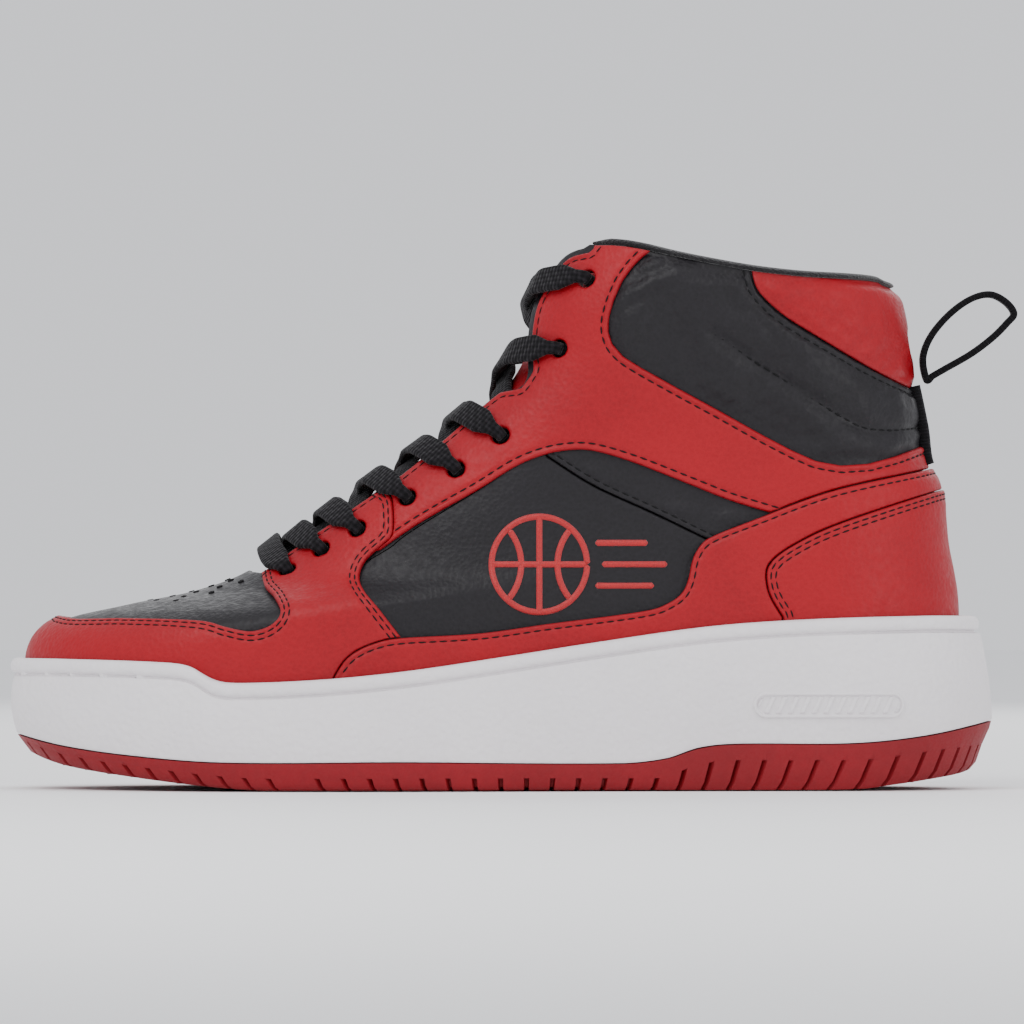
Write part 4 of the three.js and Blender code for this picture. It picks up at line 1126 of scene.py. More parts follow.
def make_base():
    """The panels that lie on the form, each padded one with its own swelling."""
    fields = [inside(VAMP), outside(THROAT_OPEN), outside(ABOVE_TOPLINE), eyelet_edge]
    sheet = Sheet((0, 13, -8.6, 8.6), fields, 0, 1.6, [[0.4], [0.4], [], at_lines(HOLE_EDGE)])
    height = np.minimum.reduce([profile(sheet.values[:, 0], CUT_EDGE), profile(sheet.values[:, 1], CUT_EDGE)])
    height = height + crinkle(sheet.point, 0.14, 12)
    shell_of("vamp_upper", sheet, -SKIN, height, BLACK_LEATHER, nodes=["vamp"], slot="black_leather")
    for side_name, side in SIDES:
        ends = sorted((0, side * BACK_SEAM))
        fields = [outside(QUARTER_BAND, GAP), inside(QUARTER), outside(VAMP, GAP), outside(THROAT_OPEN),
                  outside(ABOVE_TOPLINE)]
        sheet = Sheet((0, 13, *ends), fields, 0, 1.6, [at_lines(CUT_EDGE)])
        height = profile(sheet.values[:, 0], CUT_EDGE) + crinkle(sheet.point + 30, 0.16, 14)
        shell_of("quarter_panel_" + side_name, sheet, -SKIN, height, BLACK_LEATHER,
                 nodes=["quarter_" + side_name], slot="black_leather")
        fields = [inside(QUARTER_BAND), inside(QUARTER), outside(VAMP, GAP)]
        sheet = Sheet((3, 13, *ends), fields, 0, 1.4, [at_lines(ONE_ROW), [0.4]])
        puff = swell(sheet, panel_clear(BAND, FOXING), (3, 13, *ends), BAND_PUFF)
        height = profile(sheet.values[:, 0], ONE_ROW) + puff * smooth(sheet.values[:, 0] / 5)
        height = height + crinkle(sheet.point + 50, 0.14, 7)
        made = shell_of("quarter_pad_" + side_name, sheet, -SKIN, height, BLACK_LEATHER,
                        nodes=["quarter_band_" + side_name], slot="black_leather")
        rows_black.extend(sheet.row(0, 1.7, height, None, 0.4))
        fields = [inside(BACKING), outside(VAMP, GAP), outside(QUARTER, GAP), outside(THROAT_OPEN),
                  outside(ABOVE_TOPLINE), eyelet_edge]
        sheet = Sheet((5, 15, *ends), fields, 0, 1.5,
                      [[], [], [], at_lines(ONE_ROW), [], at_lines(HOLE_EDGE)])
        height = profile(sheet.values[:, 3], CUT_EDGE) + 0.2 * smooth((sheet.point[:, 2] - 124) / 6)
        shell_of("eyestay_under_" + side_name, sheet, -SKIN, height, BLACK_LEATHER,
                 nodes=["eyestay_backing_" + side_name], slot="black_leather")
        fields = [outside(COLLAR_BACK, GAP), inside(ANKLE), outside(QUARTER, GAP), outside(BACKING, GAP),
                  outside(ABOVE_TOPLINE), outside(THROAT_OPEN)]
        sheet = Sheet((8, 15, *ends), fields, 0, 1.3, [at_lines(FOLDED_EDGE), [], [], [], [0.4, 1.2, 2.4]])
        clear = panel_clear(BAND, COLLAR_BACK, ABOVE_TOPLINE)
        puff = swell(sheet, clear, (8, 15, *ends), ANKLE_PUFF)
        crease = line_distance(ANKLE_CREASE, sheet.point)
        puff = puff * (1 - 0.75 * np.exp(-((crease / 2.6) ** 2)))
        height = profile(sheet.values[:, 0], FOLDED_EDGE) + puff - 0.35 * np.exp(-((crease / 0.8) ** 2))
        height = height - 0.9 * (1 - smooth(sheet.values[:, 4] / 4)) + crinkle(sheet.point + 70, 0.2, 8)
        made = shell_of("ankle_pad_" + side_name, sheet, -SKIN, height, BLACK_LEATHER,
                        nodes=["ankle_panel_" + side_name], slot="black_leather")
        rows_black.extend(sheet.row(0, 2.15, height, None, 0.6))
        rows_black.append(on_panel(ANKLE_CREASE, side, 0.25))
    fields = [inside(COLLAR_BACK), outside(ABOVE_TOPLINE)]
    sheet = Sheet((8, 15, 8, 20), fields, 0, 1.3, [at_lines(FOLDED_EDGE), [0.4, 1.2, 2.4]])
    clear = lambda p, n: np.minimum(inside(COLLAR_BACK)(p, n), outside(ABOVE_TOPLINE)(p, n))
    puff = swell(sheet, clear, (8, 15, 8, 20), COLLAR_PUFF)
    height = profile(sheet.values[:, 0], CUT_EDGE) + puff - 0.9 * (1 - smooth(sheet.values[:, 1] / 4))
    height = height + crinkle(sheet.point + 90, 0.16, 8)
    made = shell_of("collar_back_pad", sheet, -SKIN, height, RED_PADDED, nodes=["collar_back_panel"],
                    slot="red_leather")


def on_panel(line, side, height):
    """Side-view places carried on to one side of the form."""
    line = np.asarray(line, float)
    kept = line[on_form(line[:, 0], line[:, 1])]
    level, step = form_place(kept[:, 0], kept[:, 1])
    return form_point(level, side * step) + form_normal(level, side * step) * height


make_base()


# ---- Inside of the shoe ----


def collar_depth(p):
    """How much deeper the lining stands behind the collar's foam."""
    return 5 * smooth((p[:, 0] - 34) / 16) * smooth((p[:, 2] - 92) / 20)


def setback(p, n):
    """Distance behind the edge of the lining at the throat."""
    return outside(THROAT_OPEN)(p, n) - LINING_SETBACK


def make_linings():
    for name, node, region, seam in (
        ("toe_lining", "vamp_lining", (0, 13, -9, 9), inside(LINING_SEAM)),
        ("padded_collar_lining", "collar_lining", (0, 15, 0.5, 27.5), outside(LINING_SEAM, GAP)),
    ):
        sheet = Sheet(region, [seam, setback, outside(ABOVE_TOPLINE)], LINING_OUT, 3.0)
        deep = LINING_OUT - collar_depth(sheet.point)
        shell_of(name, sheet, deep - LINING, deep, LINING_TEXTILE, nodes=[node], slot="black_textile")


def tongue_lean(p):
    """How much the tongue's padded top leans back into the shoe."""
    return TONGUE_LEAN * smooth((p[:, 2] - 148) / 18)


def make_tongue():
    """Padded face, foam and lining, one behind the other, thinner towards their edges."""
    face = TONGUE_OUT - LINING
    foam = face - GAP - TONGUE_FOAM
    sheet = Sheet((4, 15, -6, 6), [inside(TONGUE)], TONGUE_OUT, 1.7, [[0.5, 1.2, 2.2, 3.2, 4.4]])
    drop = TONGUE_DROP * (1 - smooth(sheet.values[:, 0] / 5))
    lean = tongue_lean(sheet.point)
    puff = crinkle(sheet.point + 20, 0.25, 11) - lean
    groove = 0.35 * np.exp(-(((sheet.values[:, 0] - 3.2) / 0.5) ** 2))
    top = TONGUE_OUT - drop + puff - groove
    made = shell_of("tongue_front", sheet, face - drop - lean, top, RED_PADDED, body="tongue",
                    nodes=["tongue_face"], slot="red_leather")
    rows_tongue.extend(sheet.row(0, 3.2, top))
    back = foam - GAP + drop * 0.9 - lean
    shell_of("tongue_back", sheet, back - LINING, back, LINING_TEXTILE, body="tongue",
             nodes=["tongue_lining"], slot="black_textile")
    core = Sheet((4, 15, -6, 6), [lambda p, n: surface_distance(TONGUE, p, n) - 1.5], face, 3.2)
    drop = TONGUE_DROP * (1 - smooth((core.values[:, 0] + 1.5) / 5))
    lean = tongue_lean(core.point)
    under = foam + drop * 0.9 - lean
    core_piece = shell_of("tongue_padding", core, under, face - GAP - drop - lean, DARK_FOAM, body="tongue",
                          nodes=["tongue_foam"], slot="foam")


make_linings()
make_tongue()


def height_level(step, height):
    """Level at which each step of the form reaches a height given by x."""
    low = np.zeros_like(step)
    high = np.full_like(step, TOP_LEVEL)
    for _ in range(30):
        middle = (low + high) / 2
        p = form_point(middle, step)
        under = p[:, 2] < height(p[:, 0])
        low = np.where(under, middle, low)
        high = np.where(under, high, middle)
    return low


FLAP_TOP = 23.4  # x where the binding starts, behind the flap's top


def topline(x):
    return np.interp(x, TOPLINE[:, 0], TOPLINE[:, 1])


def make_binding():
    """Rolled edge over the top of the collar, from flap to flap round the heel."""
    start = 2.6
    step = np.concatenate([
        np.linspace(start, 6, 16), np.linspace(6.2, 21.8, 84), np.linspace(22, 2 * BACK_END - start, 16)])
    level = height_level(step, topline)
    foot = form_point(level, step)
    kept = foot[:, 0] > FLAP_TOP
    step, level, foot = step[kept], level[kept], foot[kept]
    n = form_normal(level, step)
    n[:, 2] = 0
    n /= np.linalg.norm(n, axis=1, keepdims=True)
    depth = collar_depth(foot)
    out = np.full(len(foot), 0.1)
    inner = -(3.8 + depth)
    taper = np.clip(np.minimum(np.arange(len(foot)), np.arange(len(foot))[::-1]) / 3.0, 0.15, 1) ** 0.5
    rings = []
    for a in np.linspace(0, 2 * math.pi, 18, endpoint=False):
        squared = math.copysign(abs(math.cos(a)) ** 0.75, math.cos(a))
        across = (out + inner) / 2 + (out - inner) / 2 * squared * taper
        rise = 0.45 + (1.5 if math.sin(a) > 0 else 0.7) * math.sin(a) * taper
        rings.append(foot + n * across[:, None] + np.array([0, 0, 1.0]) * rise[:, None])
    rings = np.array(rings).transpose(1, 0, 2)
    faces = tube_faces(len(rings), rings.shape[1])
    outward(mesh_object("collar_binding", rings.reshape(-1, 3), faces, BINDING_TEXTILE, 60,
                        nodes=["topline_binding"], slot="black_textile"))


make_binding()

# ---- Pull loop and the webbing down the back ----

LOOP_WIDTH = 11
WEBBING = 1.1
HEEL_WEBBING = 4.0  # both ends of the loop over the padded seam
WEBBING_PLY = 2.0  # doubled webbing, on the middle of the frame's single ply
LOOP = [
    [126.9, 124.9], [125.7, 131.4], [128, 138], [133.5, 144.7], [140, 149.5], [146, 151.1], [150.8, 149],
    [153.6, 145.3], [151.5, 142.3], [147, 137.8], [140.5, 132.9], [132.5, 128.3], [128.7, 126.1],
]


def make_webbing():
    """The loop, and the strip that both its ends run into, sewn down the back."""
    wrapped = np.array(LOOP[-2:] + LOOP + LOOP[:3], float)
    t = np.linspace(2, 2 + len(LOOP), 121)[:-1]
    line = level_of(wrapped, t)
    middles = np.stack([line[:, 0], np.zeros(len(line)), line[:, 1]], 1)
    ribbon("heel_pull_loop", middles, np.tile([0.0, 1.0, 0.0], (len(line), 1)), [LOOP_WIDTH] * len(line),
           WEBBING_PLY, WEBBING_WEAVE, closed=True, body="loop", nodes=["pull_loop"], slot="black_webbing")
    heights = np.linspace(98.4, 123, 26)
    low = np.interp(heights, BACK[:, 1], np.arange(len(BACK)))
    step = np.full(len(low), BACK_END)
    stands_out = np.interp(heights, [98, 110, 123], [0.4, 0.3, -0.5])
    off = BAND_BASE + SKIN + GAP + WEBBING + stands_out - HEEL_WEBBING / 2
    middles = form_point(low, step) + form_normal(low, step - 0.02) * off[:, None]
    ribbon("heel_webbing", middles, np.tile([0.0, 1.0, 0.0], (len(low), 1)), [LOOP_WIDTH] * len(low),
           HEEL_WEBBING, WEBBING_WEAVE, nodes=["back_webbing"], slot="black_webbing")


make_webbing()

# ---- Sole unit ----

LIP = np.array([
    [-155, 39.6], [-137, 39.6], [-106.5, 38.8], [-98, 37.6], [-90.7, 33.5], [-84, 32.6], [-57.4, 33.7],
    [-32.2, 36.2], [-2.8, 40.5], [26.7, 45.1], [59.8, 49.7], [89.3, 51.8], [126, 52.8], [147, 52.4],
])
OUTSOLE_TOP = np.array([
    [-155, 17], [-138, 13.1], [-116.7, 10.3], [-88.7, 8.3], [-34.7, 8.4], [32.8, 8], [46.6, 9.5],
    [56.1, 12.6], [66.6, 13.8], [103.4, 14], [126, 16.3], [148, 20.8],
])
GROUND = np.array([
    [-155, 13], [-149, 10.8], [-136.6, 7], [-114, 3.6], [-91, 1], [-77.6, 0.1], [-60, 0],
    [90, 0], [106.4, 0.3], [112.3, 1], [128.2, 3.2], [138.9, 5.3], [147, 9.5],
])
OUTSOLE_BOTTOM_ENDS = (-147, 141, 4)  # front x, back x, inset of the sides
OUTSOLE_TOP_ENDS = (-152.4, 146.9, 0.8)
CUP_WALL_ENDS = np.array([(-152.4, 146.9, 0.8), (-154.2, 145.8, 0), (-153.2, 143.2, 1.4)])
LIP_ENDS = (-153.9, 142.4, 1.2)
SOLE_FRONT_ROUND = 62
SOLE_BACK_ROUND = 44
OUTSOLE_RIM = 8
SOLE_FLOOR = 4.6
CUP_FLOOR = 2.4
WALL_TOP = 5.2  # the wall ends this far under the lip's top


def ground(x):
    return np.maximum(0, along(GROUND, x))


def outsole_top(x):
    return along(OUTSOLE_TOP, x)


def lip(x):
    return along(LIP, x)


def recess_floor(x):
    return np.maximum(SOLE_FLOOR, ground(x) + SOLE_FLOOR - 1)


def cup_floor_top(x):
    return np.maximum(outsole_top(x), recess_floor(x)) + GAP + CUP_FLOOR


def footbed(x):
    return 26 + 12 * (x + 146) / 274


def layers_at(x):
    """How far the upper's layers stand off the form behind the lip."""
    return MUDGUARD_BASE + LEATHER + 0.4 * smooth((x + 75) / 15) + 0.6 * smooth((x - 65) / 12)


def sole_ring(step, ends, height, shrink=0.0):
    """Points round the sole between two ends, drawn in by shrink."""
    front, back, inset = ends
    x, part = oval(step, front + shrink, back - shrink, SOLE_FRONT_ROUND, SOLE_BACK_ROUND)
    y = along(CENTRE, x) + np.where(step < 0, -1, 1) * part * (along(SOLE_WIDTH, x) - inset - shrink)
    return np.stack([x, y, height(x)], 1)


def ring_length():
    """Arc length round one side of the sole, by step."""
    steps = np.linspace(0, BACK_END, 1500)
    p = sole_ring(steps, OUTSOLE_TOP_ENDS, outsole_top)
    return steps, np.concatenate([[0], np.cumsum(np.linalg.norm(np.diff(p[:, :2], axis=0), axis=1))]), p[:, 0]


side_steps, side_arc, side_x = ring_length()


def mirrored(half):
    """Both sides' steps from one side's, from the toe round the medial side and back."""
    return np.concatenate([half, -half[-2:0:-1]])


def pocket_ring(step, height, distance):
    """The form grown sideways, read at a height given by x."""
    level = height_level(step, height)
    n = form_normal(level, step)
    p = form_point(level, step) + n * distance(form_point(level, step)[:, 0])[:, None]
    p[:, 2] = height(p[:, 0])
    return p


def wall_ends(u):
    """Ends of the cup's wall at a share of its height, smooth through three rings."""
    a, b, c = CUP_WALL_ENDS
    return (np.multiply.outer(a, (u - 0.5) * (u - 1) * 2) + np.multiply.outer(b, u * (1 - u) * 4)
            + np.multiply.outer(c, u * (u - 0.5) * 2))


# Places of the short ribs that cross the groove at the toe, and the lip's bead as [out, down].
TOE_RIBS = [-150, -142.5, -134.5, -125, -113.5]
BEAD = [(-0.3, -5.2), (-0.95, -4.95), (-1.05, -4.45), (-0.5, -4.2), (0.12, -3.9), (0.42, -3.2), (0.5, -2.4),
        (0.34, -1.5), (-0.05, -0.75), (-0.7, -0.22), (-1.7, 0)]


def make_cupsole():
    """White cup from its floor, up the outside, over the lip's bead and down the inside."""
    half = np.interp(np.linspace(0, side_arc[-1], 560), side_arc, side_steps)
    step = mirrored(half)
    rim = OUTSOLE_RIM + GAP
    base = lambda x: outsole_top(x) + GAP
    rings = [
        sole_ring(step, OUTSOLE_BOTTOM_ENDS, lambda x: recess_floor(x) + GAP, rim),
        sole_ring(step, OUTSOLE_BOTTOM_ENDS, lambda x: np.maximum(base(x), recess_floor(x) + GAP), rim),
        sole_ring(step, OUTSOLE_TOP_ENDS, base, 1.0),
        sole_ring(step, OUTSOLE_TOP_ENDS, base, 0.25),
    ]
    for u in np.concatenate([[0.012], np.linspace(0.04, 1, 26)]):
        rise = lambda x: base(x) + (lip(x) - WALL_TOP - base(x)) * u
        rings.append(sole_ring(step, wall_ends(u), rise))
    for out, down in BEAD:
        x = rings[-1][:, 0]
        if out < -0.3 and down < -4:
            ribbed = np.min([np.abs(x - place) for place in TOE_RIBS], axis=0) < 0.7
            out = np.where(ribbed, -0.2, out)
        rings.append(sole_ring(step, LIP_ENDS, lambda x: lip(x) + down, -out))
    for down in (0.0, 0.4):
        grown = lambda x: layers_at(x) + GAP + (0.4 - down)
        rings.append(pocket_ring(step, lambda x: lip(x) - down, grown))
    for part in (0.35, 0.7, 1.0):
        level = lambda x: lip(x) + (cup_floor_top(x) - lip(x)) * part
        rings.append(pocket_ring(step, level, lambda x: layers_at(x) + GAP))
    points, faces = loft(rings)
    outward(mesh_object("cup_midsole", points, faces, WHITE_RUBBER, 45, nodes=["cupsole"],
                        slot="white_rubber"))


SLOT_START = -134.0
SLOT_REACH = 3.6
SLOT_DEPTH = 2.4
SLOT_HEIGHTS = [[-150, 3.6], [45, 3.6], [54, 7.1], [62, 8.9], [103, 8.9], [111, 9.5], [127, 11.7], [150, 14]]


def slot_places():
    """Arc places of the slots along one side of the outsole, closer together at the toe."""
    at = [SLOT_START + 6.6 * i + 0.07 * i * i for i in range(9)] + [-61.5 + 8.21 * i for i in range(24)]
    at = np.interp(at, side_x, side_arc)
    toe = np.linspace(3.5, at[0], 5)[:-1]
    heel = np.linspace(at[-1], side_arc[-1] - 4, 6)[1:]
    return np.concatenate([toe, at, heel])


def make_outsole():
    """Red rubber from its hollow underside, up its slotted edge and into the recess for the cup."""
    slots = slot_places()
    edges = np.concatenate([slots + d for d in (-0.85, -0.5, 0.5, 0.85)])
    fill = np.arange(0, side_arc[-1], 2.4)
    fill = fill[np.min(np.abs(fill[:, None] - slots), axis=1) > 1.5]
    arcs = np.unique(np.concatenate([[0, side_arc[-1]], fill, edges]))
    in_slot = (np.min(np.abs(arcs[:, None] - slots), axis=1) < 0.6).astype(float)
    half = np.interp(arcs, side_arc, side_steps)
    half[-1] = BACK_END
    step = mirrored(half)
    slotted = np.concatenate([in_slot, in_slot[-2:0:-1]])
    bottom, top = np.array(OUTSOLE_BOTTOM_ENDS), np.array(OUTSOLE_TOP_ENDS)
    slot_top = lambda x: np.minimum(
        np.maximum(np.interp(x, *np.array(SLOT_HEIGHTS).T), ground(x) + SLOT_REACH), outsole_top(x) - 1.2)
    rim = lambda x: ground(x) + 1.6
    rings = [
        sole_ring(step, OUTSOLE_BOTTOM_ENDS, rim, 7.0),
        sole_ring(step, OUTSOLE_BOTTOM_ENDS, lambda x: ground(x) + 0.3, 6.4),
        sole_ring(step, OUTSOLE_BOTTOM_ENDS, lambda x: ground(x) + 1.3 * slotted, 5.8),
        sole_ring(step, OUTSOLE_BOTTOM_ENDS, lambda x: ground(x) + 1.3 * slotted, 0.9 + 1.6 * slotted),
    ]
    for share, reach, deep in ((0.3, 0, 1), (0.7, 0, 1), (0.97, 0, 1), (1.0, 0, 0.4), (1.03, 0, 0),
                               (0, 0.85, 0), (0, 1, 0)):
        x = rings[-1][:, 0]
        low, high = ground(x), outsole_top(x)
        z = low + (slot_top(x) - low) * share if share else low + (high - low) * reach
        v = (z - low) / (high - low)
        ends = [bottom[i] + (top[i] - bottom[i]) * v for i in range(3)]
        shrink = SLOT_DEPTH * slotted * deep + (0.25 if reach == 1 else 0)
        rings.append(sole_ring(step, ends, lambda _: z, shrink))
    for shrink, height in ((OUTSOLE_RIM, outsole_top), (OUTSOLE_RIM, recess_floor)):
        rings.append(sole_ring(step, OUTSOLE_BOTTOM_ENDS, height, shrink))
    points, faces = loft(rings)
    outward(mesh_object("red_outsole", points, faces, RED_RUBBER, 40, nodes=["outsole"], slot="red_rubber"))


def make_sockliner():
    """Footbed with a rounded edge, a little hollow in its middle."""
    step = mirrored(np.linspace(0, BACK_END, 90))
    inner = LINING_OUT - LINING - GAP
    low, high = (lambda x: footbed(x) + GAP), (lambda x: footbed(x) + GAP + 4.2)
    rings = [pocket_ring(step, low, lambda x: inner + 0 * x)]
    for inset, down in ((0, 1.0), (0.35, 0.3), (1.1, 0.0), (6, 0.25), (14, 0.4)):
        rings.append(pocket_ring(step, lambda x: high(x) - down, lambda x: inner - inset + 0 * x))
    points, faces = loft(rings)
    outward(mesh_object("foam_sockliner", points, faces, LINING_TEXTILE, 60, nodes=["sockliner"],
                        slot="black_textile"))


make_cupsole()
make_outsole()
make_sockliner()

# ---- What repeats: stitches, tread blocks and perforations, each from one tree ----


def tree_with(name, inputs):
    """Empty geometry tree with named number inputs; returns the tree, its input node and its output node."""
    tree = bpy.data.node_groups.new(name, "GeometryNodeTree")
    tree.interface.new_socket(name="Geometry", in_out="INPUT", socket_type="NodeSocketGeometry")
    for key, value in inputs.items():
        socket = tree.interface.new_socket(name=key, in_out="INPUT", socket_type="NodeSocketFloat")
        socket.default_value = value
    tree.interface.new_socket(name="Geometry", in_out="OUTPUT", socket_type="NodeSocketGeometry")
    return tree, tree.nodes.new("NodeGroupInput"), tree.nodes.new("NodeGroupOutput")


def tree_node(tree, kind, settings=None, **inputs):
    made = tree.nodes.new(kind)
    for key, value in (settings or {}).items():
        setattr(made, key, value)
    for key, value in inputs.items():
        socket = made.inputs[int(key[1:]) if key[1:].isdigit() else key.replace("_", " ")]
        if isinstance(value, bpy.types.NodeSocket):
            tree.links.new(value, socket)
        else:
            socket.default_value = value
    return made


def close_tree(tree, instances, material, target):
    """Makes instances real, in one material, and ends the tree."""
    real = tree_node(tree, "GeometryNodeRealizeInstances", Geometry=instances)
    coloured = tree_node(tree, "GeometryNodeSetMaterial", Geometry=real.outputs[0], Material=material)
    smooth_faces = tree_node(tree, "GeometryNodeSetShadeSmooth", Geometry=coloured.outputs[0])
    tree.links.new(smooth_faces.outputs[0], target.inputs[0])


def grow(name, seed_mesh, tree, values, material, body=SHOE):
    """Runs a tree on a mesh and keeps what it makes as a plain piece."""
    source = bpy.data.objects.new(name + "_source", seed_mesh)
    bpy.context.collection.objects.link(source)
    modifier = source.modifiers.new("grow", "NODES")
    modifier.node_group = tree
    sockets = {item.name: item.identifier for item in tree.interface.items_tree if item.in_out == "INPUT"}
    for key, value in values.items():
        modifier[sockets[key]] = value
    done = source.evaluated_get(bpy.context.evaluated_depsgraph_get())
    mesh = bpy.data.meshes.new_from_object(done)
    bpy.data.objects.remove(source)
    mesh.name = name
    mesh.materials.clear()
    mesh.materials.append(material)
    made = bpy.data.objects.new(name, mesh)
    bpy.context.collection.objects.link(made)
    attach(made, body)
    return made


STITCH_PITCH = 3.2
STITCH_LENGTH = 2.5
STITCH_THICKNESS = 0.62


def stitch_tree(material):
    """Rounded stitches laid end to end along lines."""
    tree, start, end = tree_with("stitches", {
        "Pitch": STITCH_PITCH * MM, "Length": STITCH_LENGTH * MM, "Thickness": STITCH_THICKNESS * MM})
    curve = tree_node(tree, "GeometryNodeMeshToCurve", Mesh=start.outputs["Geometry"])
    even = tree_node(tree, "GeometryNodeResampleCurve", {"mode": "LENGTH"}, Curve=curve.outputs[0],
                     Length=start.outputs["Pitch"])
    ball = tree_node(tree, "GeometryNodeMeshUVSphere", Segments=8, Rings=6, Radius=0.5)
    size = tree_node(tree, "ShaderNodeCombineXYZ", X=start.outputs["Thickness"], Y=start.outputs["Thickness"],
                     Z=start.outputs["Length"])
    shaped = tree_node(tree, "GeometryNodeTransform", Geometry=ball.outputs[0], Scale=size.outputs[0])
    tangent = tree_node(tree, "GeometryNodeInputTangent")
    turn = tree_node(tree, "FunctionNodeAlignRotationToVector", {"axis": "Z"}, Vector=tangent.outputs[0])
    placed = tree_node(tree, "GeometryNodeInstanceOnPoints", Points=even.outputs[0],
                       Instance=shaped.outputs[0], Rotation=turn.outputs[0])
    close_tree(tree, placed.outputs[0], material, end)
    return tree


def line_mesh(name, lines):
    """Mesh of edges along lines of points."""
    points, edges = [], []
    for line in lines:
        first = len(points)
        points += (np.asarray(line) * MM).tolist()
        edges += [(first + i, first + i + 1) for i in range(len(line) - 1)]
    mesh = bpy.data.meshes.new(name)
    mesh.from_pydata(points, edges, [])
    return mesh


def make_stitches():
    """All the rows gathered from the panels, as one piece for each thread and body."""
    for name, lines, material, body, slot in (
        ("red_stitching", rows_red, RED_THREAD_AND_HOLE_SHADE, SHOE, "red_leather"),
        ("black_stitching", rows_black, BLACK_THREAD, SHOE, "black_textile"),
        ("tongue_stitching", rows_tongue, RED_THREAD_AND_HOLE_SHADE, "tongue", "red_leather"),
    ):
        grow(name, line_mesh(name, lines), stitch_tree(material), {"Pitch": STITCH_PITCH * MM}, material,
             body)


TREAD_ROWS = 7.2  # between rows of blocks along the sole
TREAD_ACROSS = 12.5  # between pairs in one row
TREAD_HEIGHT = 1.7


def tread_tree(material):
    """Blocks in pairs that point along the sole, set on points."""
    tree, start, end = tree_with("tread", {
        "Block length": 9 * MM, "Block width": 2.6 * MM, "Block height": TREAD_HEIGHT * MM})
    size = tree_node(tree, "ShaderNodeCombineXYZ", X=start.outputs["Block length"],
                     Y=start.outputs["Block width"], Z=start.outputs["Block height"])
    block = tree_node(tree, "GeometryNodeMeshCube", Size=size.outputs[0])
    pair = tree_node(tree, "GeometryNodeJoinGeometry")
    for way in (-1, 1):
        turned = tree_node(tree, "GeometryNodeTransform", Geometry=block.outputs[0],
                           Translation=(0, way * 3.0 * MM, 0), Rotation=(0, 0, way * 0.7))
        tree.links.new(turned.outputs[0], pair.inputs[0])
    placed = tree_node(tree, "GeometryNodeInstanceOnPoints", Points=start.outputs["Geometry"],
                       Instance=pair.outputs[0])
    close_tree(tree, placed.outputs[0], material, end)
    return tree


def make_tread():
    """Pairs of blocks over the sole's hollow, as many in a row as its width takes."""
    spots = []
    inner, part = oval(np.linspace(0, BACK_END, 400), -135, 129, 52, 36)
    for x in np.arange(-134, 132, TREAD_ROWS):
        width = float(along(SOLE_WIDTH, x))
        half = min(width - 16, float(np.interp(x, inner, part)) * (width - 15))
        count = int(half // TREAD_ACROSS)
        for j in range(-count, count + 1):
            y = float(along(CENTRE, x)) + j * TREAD_ACROSS
            spots.append((x * MM, y * MM, (float(ground(x)) + 0.95) * MM))
    mesh = bpy.data.meshes.new("tread_spots")
    mesh.from_pydata(spots, [], [])
    made = grow("tread_blocks", mesh, tread_tree(RED_RUBBER), {"Block height": TREAD_HEIGHT * MM}, RED_RUBBER)
    for polygon in made.data.polygons:
        polygon.use_smooth = False


HOLE_RADIUS = 0.7
HOLE_RIM = 0.3


def hole_tree(material):
    """Dark discs in a raised ring for punched holes, set on points and turned to the leather."""
    tree, start, end = tree_with("perforations", {"Hole radius": HOLE_RADIUS * MM, "Rim": HOLE_RIM * MM})
    curve = tree_node(tree, "GeometryNodeCurvePrimitiveCircle", Resolution=14,
                      Radius=start.outputs["Hole radius"])
    section = tree_node(tree, "GeometryNodeCurvePrimitiveCircle", Resolution=6, Radius=start.outputs["Rim"])
    rim = tree_node(tree, "GeometryNodeCurveToMesh", Curve=curve.outputs[0], Profile_Curve=section.outputs[0])
    dark = tree_node(tree, "GeometryNodeMeshCylinder", Vertices=14, Radius=start.outputs["Hole radius"],
                     Depth=0.3 * MM)
    both = tree_node(tree, "GeometryNodeJoinGeometry")
    tree.links.new(rim.outputs[0], both.inputs[0])
    tree.links.new(dark.outputs[0], both.inputs[0])
    facing = tree_node(tree, "GeometryNodeInputNamedAttribute", {"data_type": "FLOAT_VECTOR"}, Name="facing")
    turn = tree_node(tree, "FunctionNodeAlignRotationToVector", {"axis": "Z"}, Vector=facing.outputs[0])
    placed = tree_node(tree, "GeometryNodeInstanceOnPoints", Points=start.outputs["Geometry"],
                       Instance=both.outputs[0], Rotation=turn.outputs[0])
    close_tree(tree, placed.outputs[0], material, end)
    return tree


def make_perforations():
    """Staggered rows of holes over the toes."""
    level, step = [], []
    for row in range(5):
        for place in np.arange(-3, 4) + (row % 2) * 0.5:
            if abs(place) < 2.3:
                level.append(5.25 + 0.33 * row - 0.035 * place * place)
                step.append(place * (0.85 - 0.05 * row))
    n = form_normal(np.array(level), np.array(step))
    p = form_point(np.array(level), np.array(step)) + n * 0.05
    mesh = bpy.data.meshes.new("perforation_spots")
    mesh.from_pydata((p * MM).tolist(), [], [])
    mesh.attributes.new("facing", "FLOAT_VECTOR", "POINT").data.foreach_set("vector", n.ravel())
    grow("toe_perforations", mesh, hole_tree(HOLE_DARK), {"Hole radius": HOLE_RADIUS * MM}, HOLE_DARK)


EMBLEM_X, EMBLEM_Z, EMBLEM_RADIUS = 8.0, 68.5, 14.5
SATIN_WIDTH = 1.9
SATIN_SPACING = 0.17  # between the rings that make a line
SATIN_THREAD_PITCH = 0.5


def arc_line(x, z, radius, start, end, count=60):
    turn = np.linspace(math.radians(start), math.radians(end), count)
    return np.stack([x + radius * np.cos(turn), z + radius * np.sin(turn)], 1)


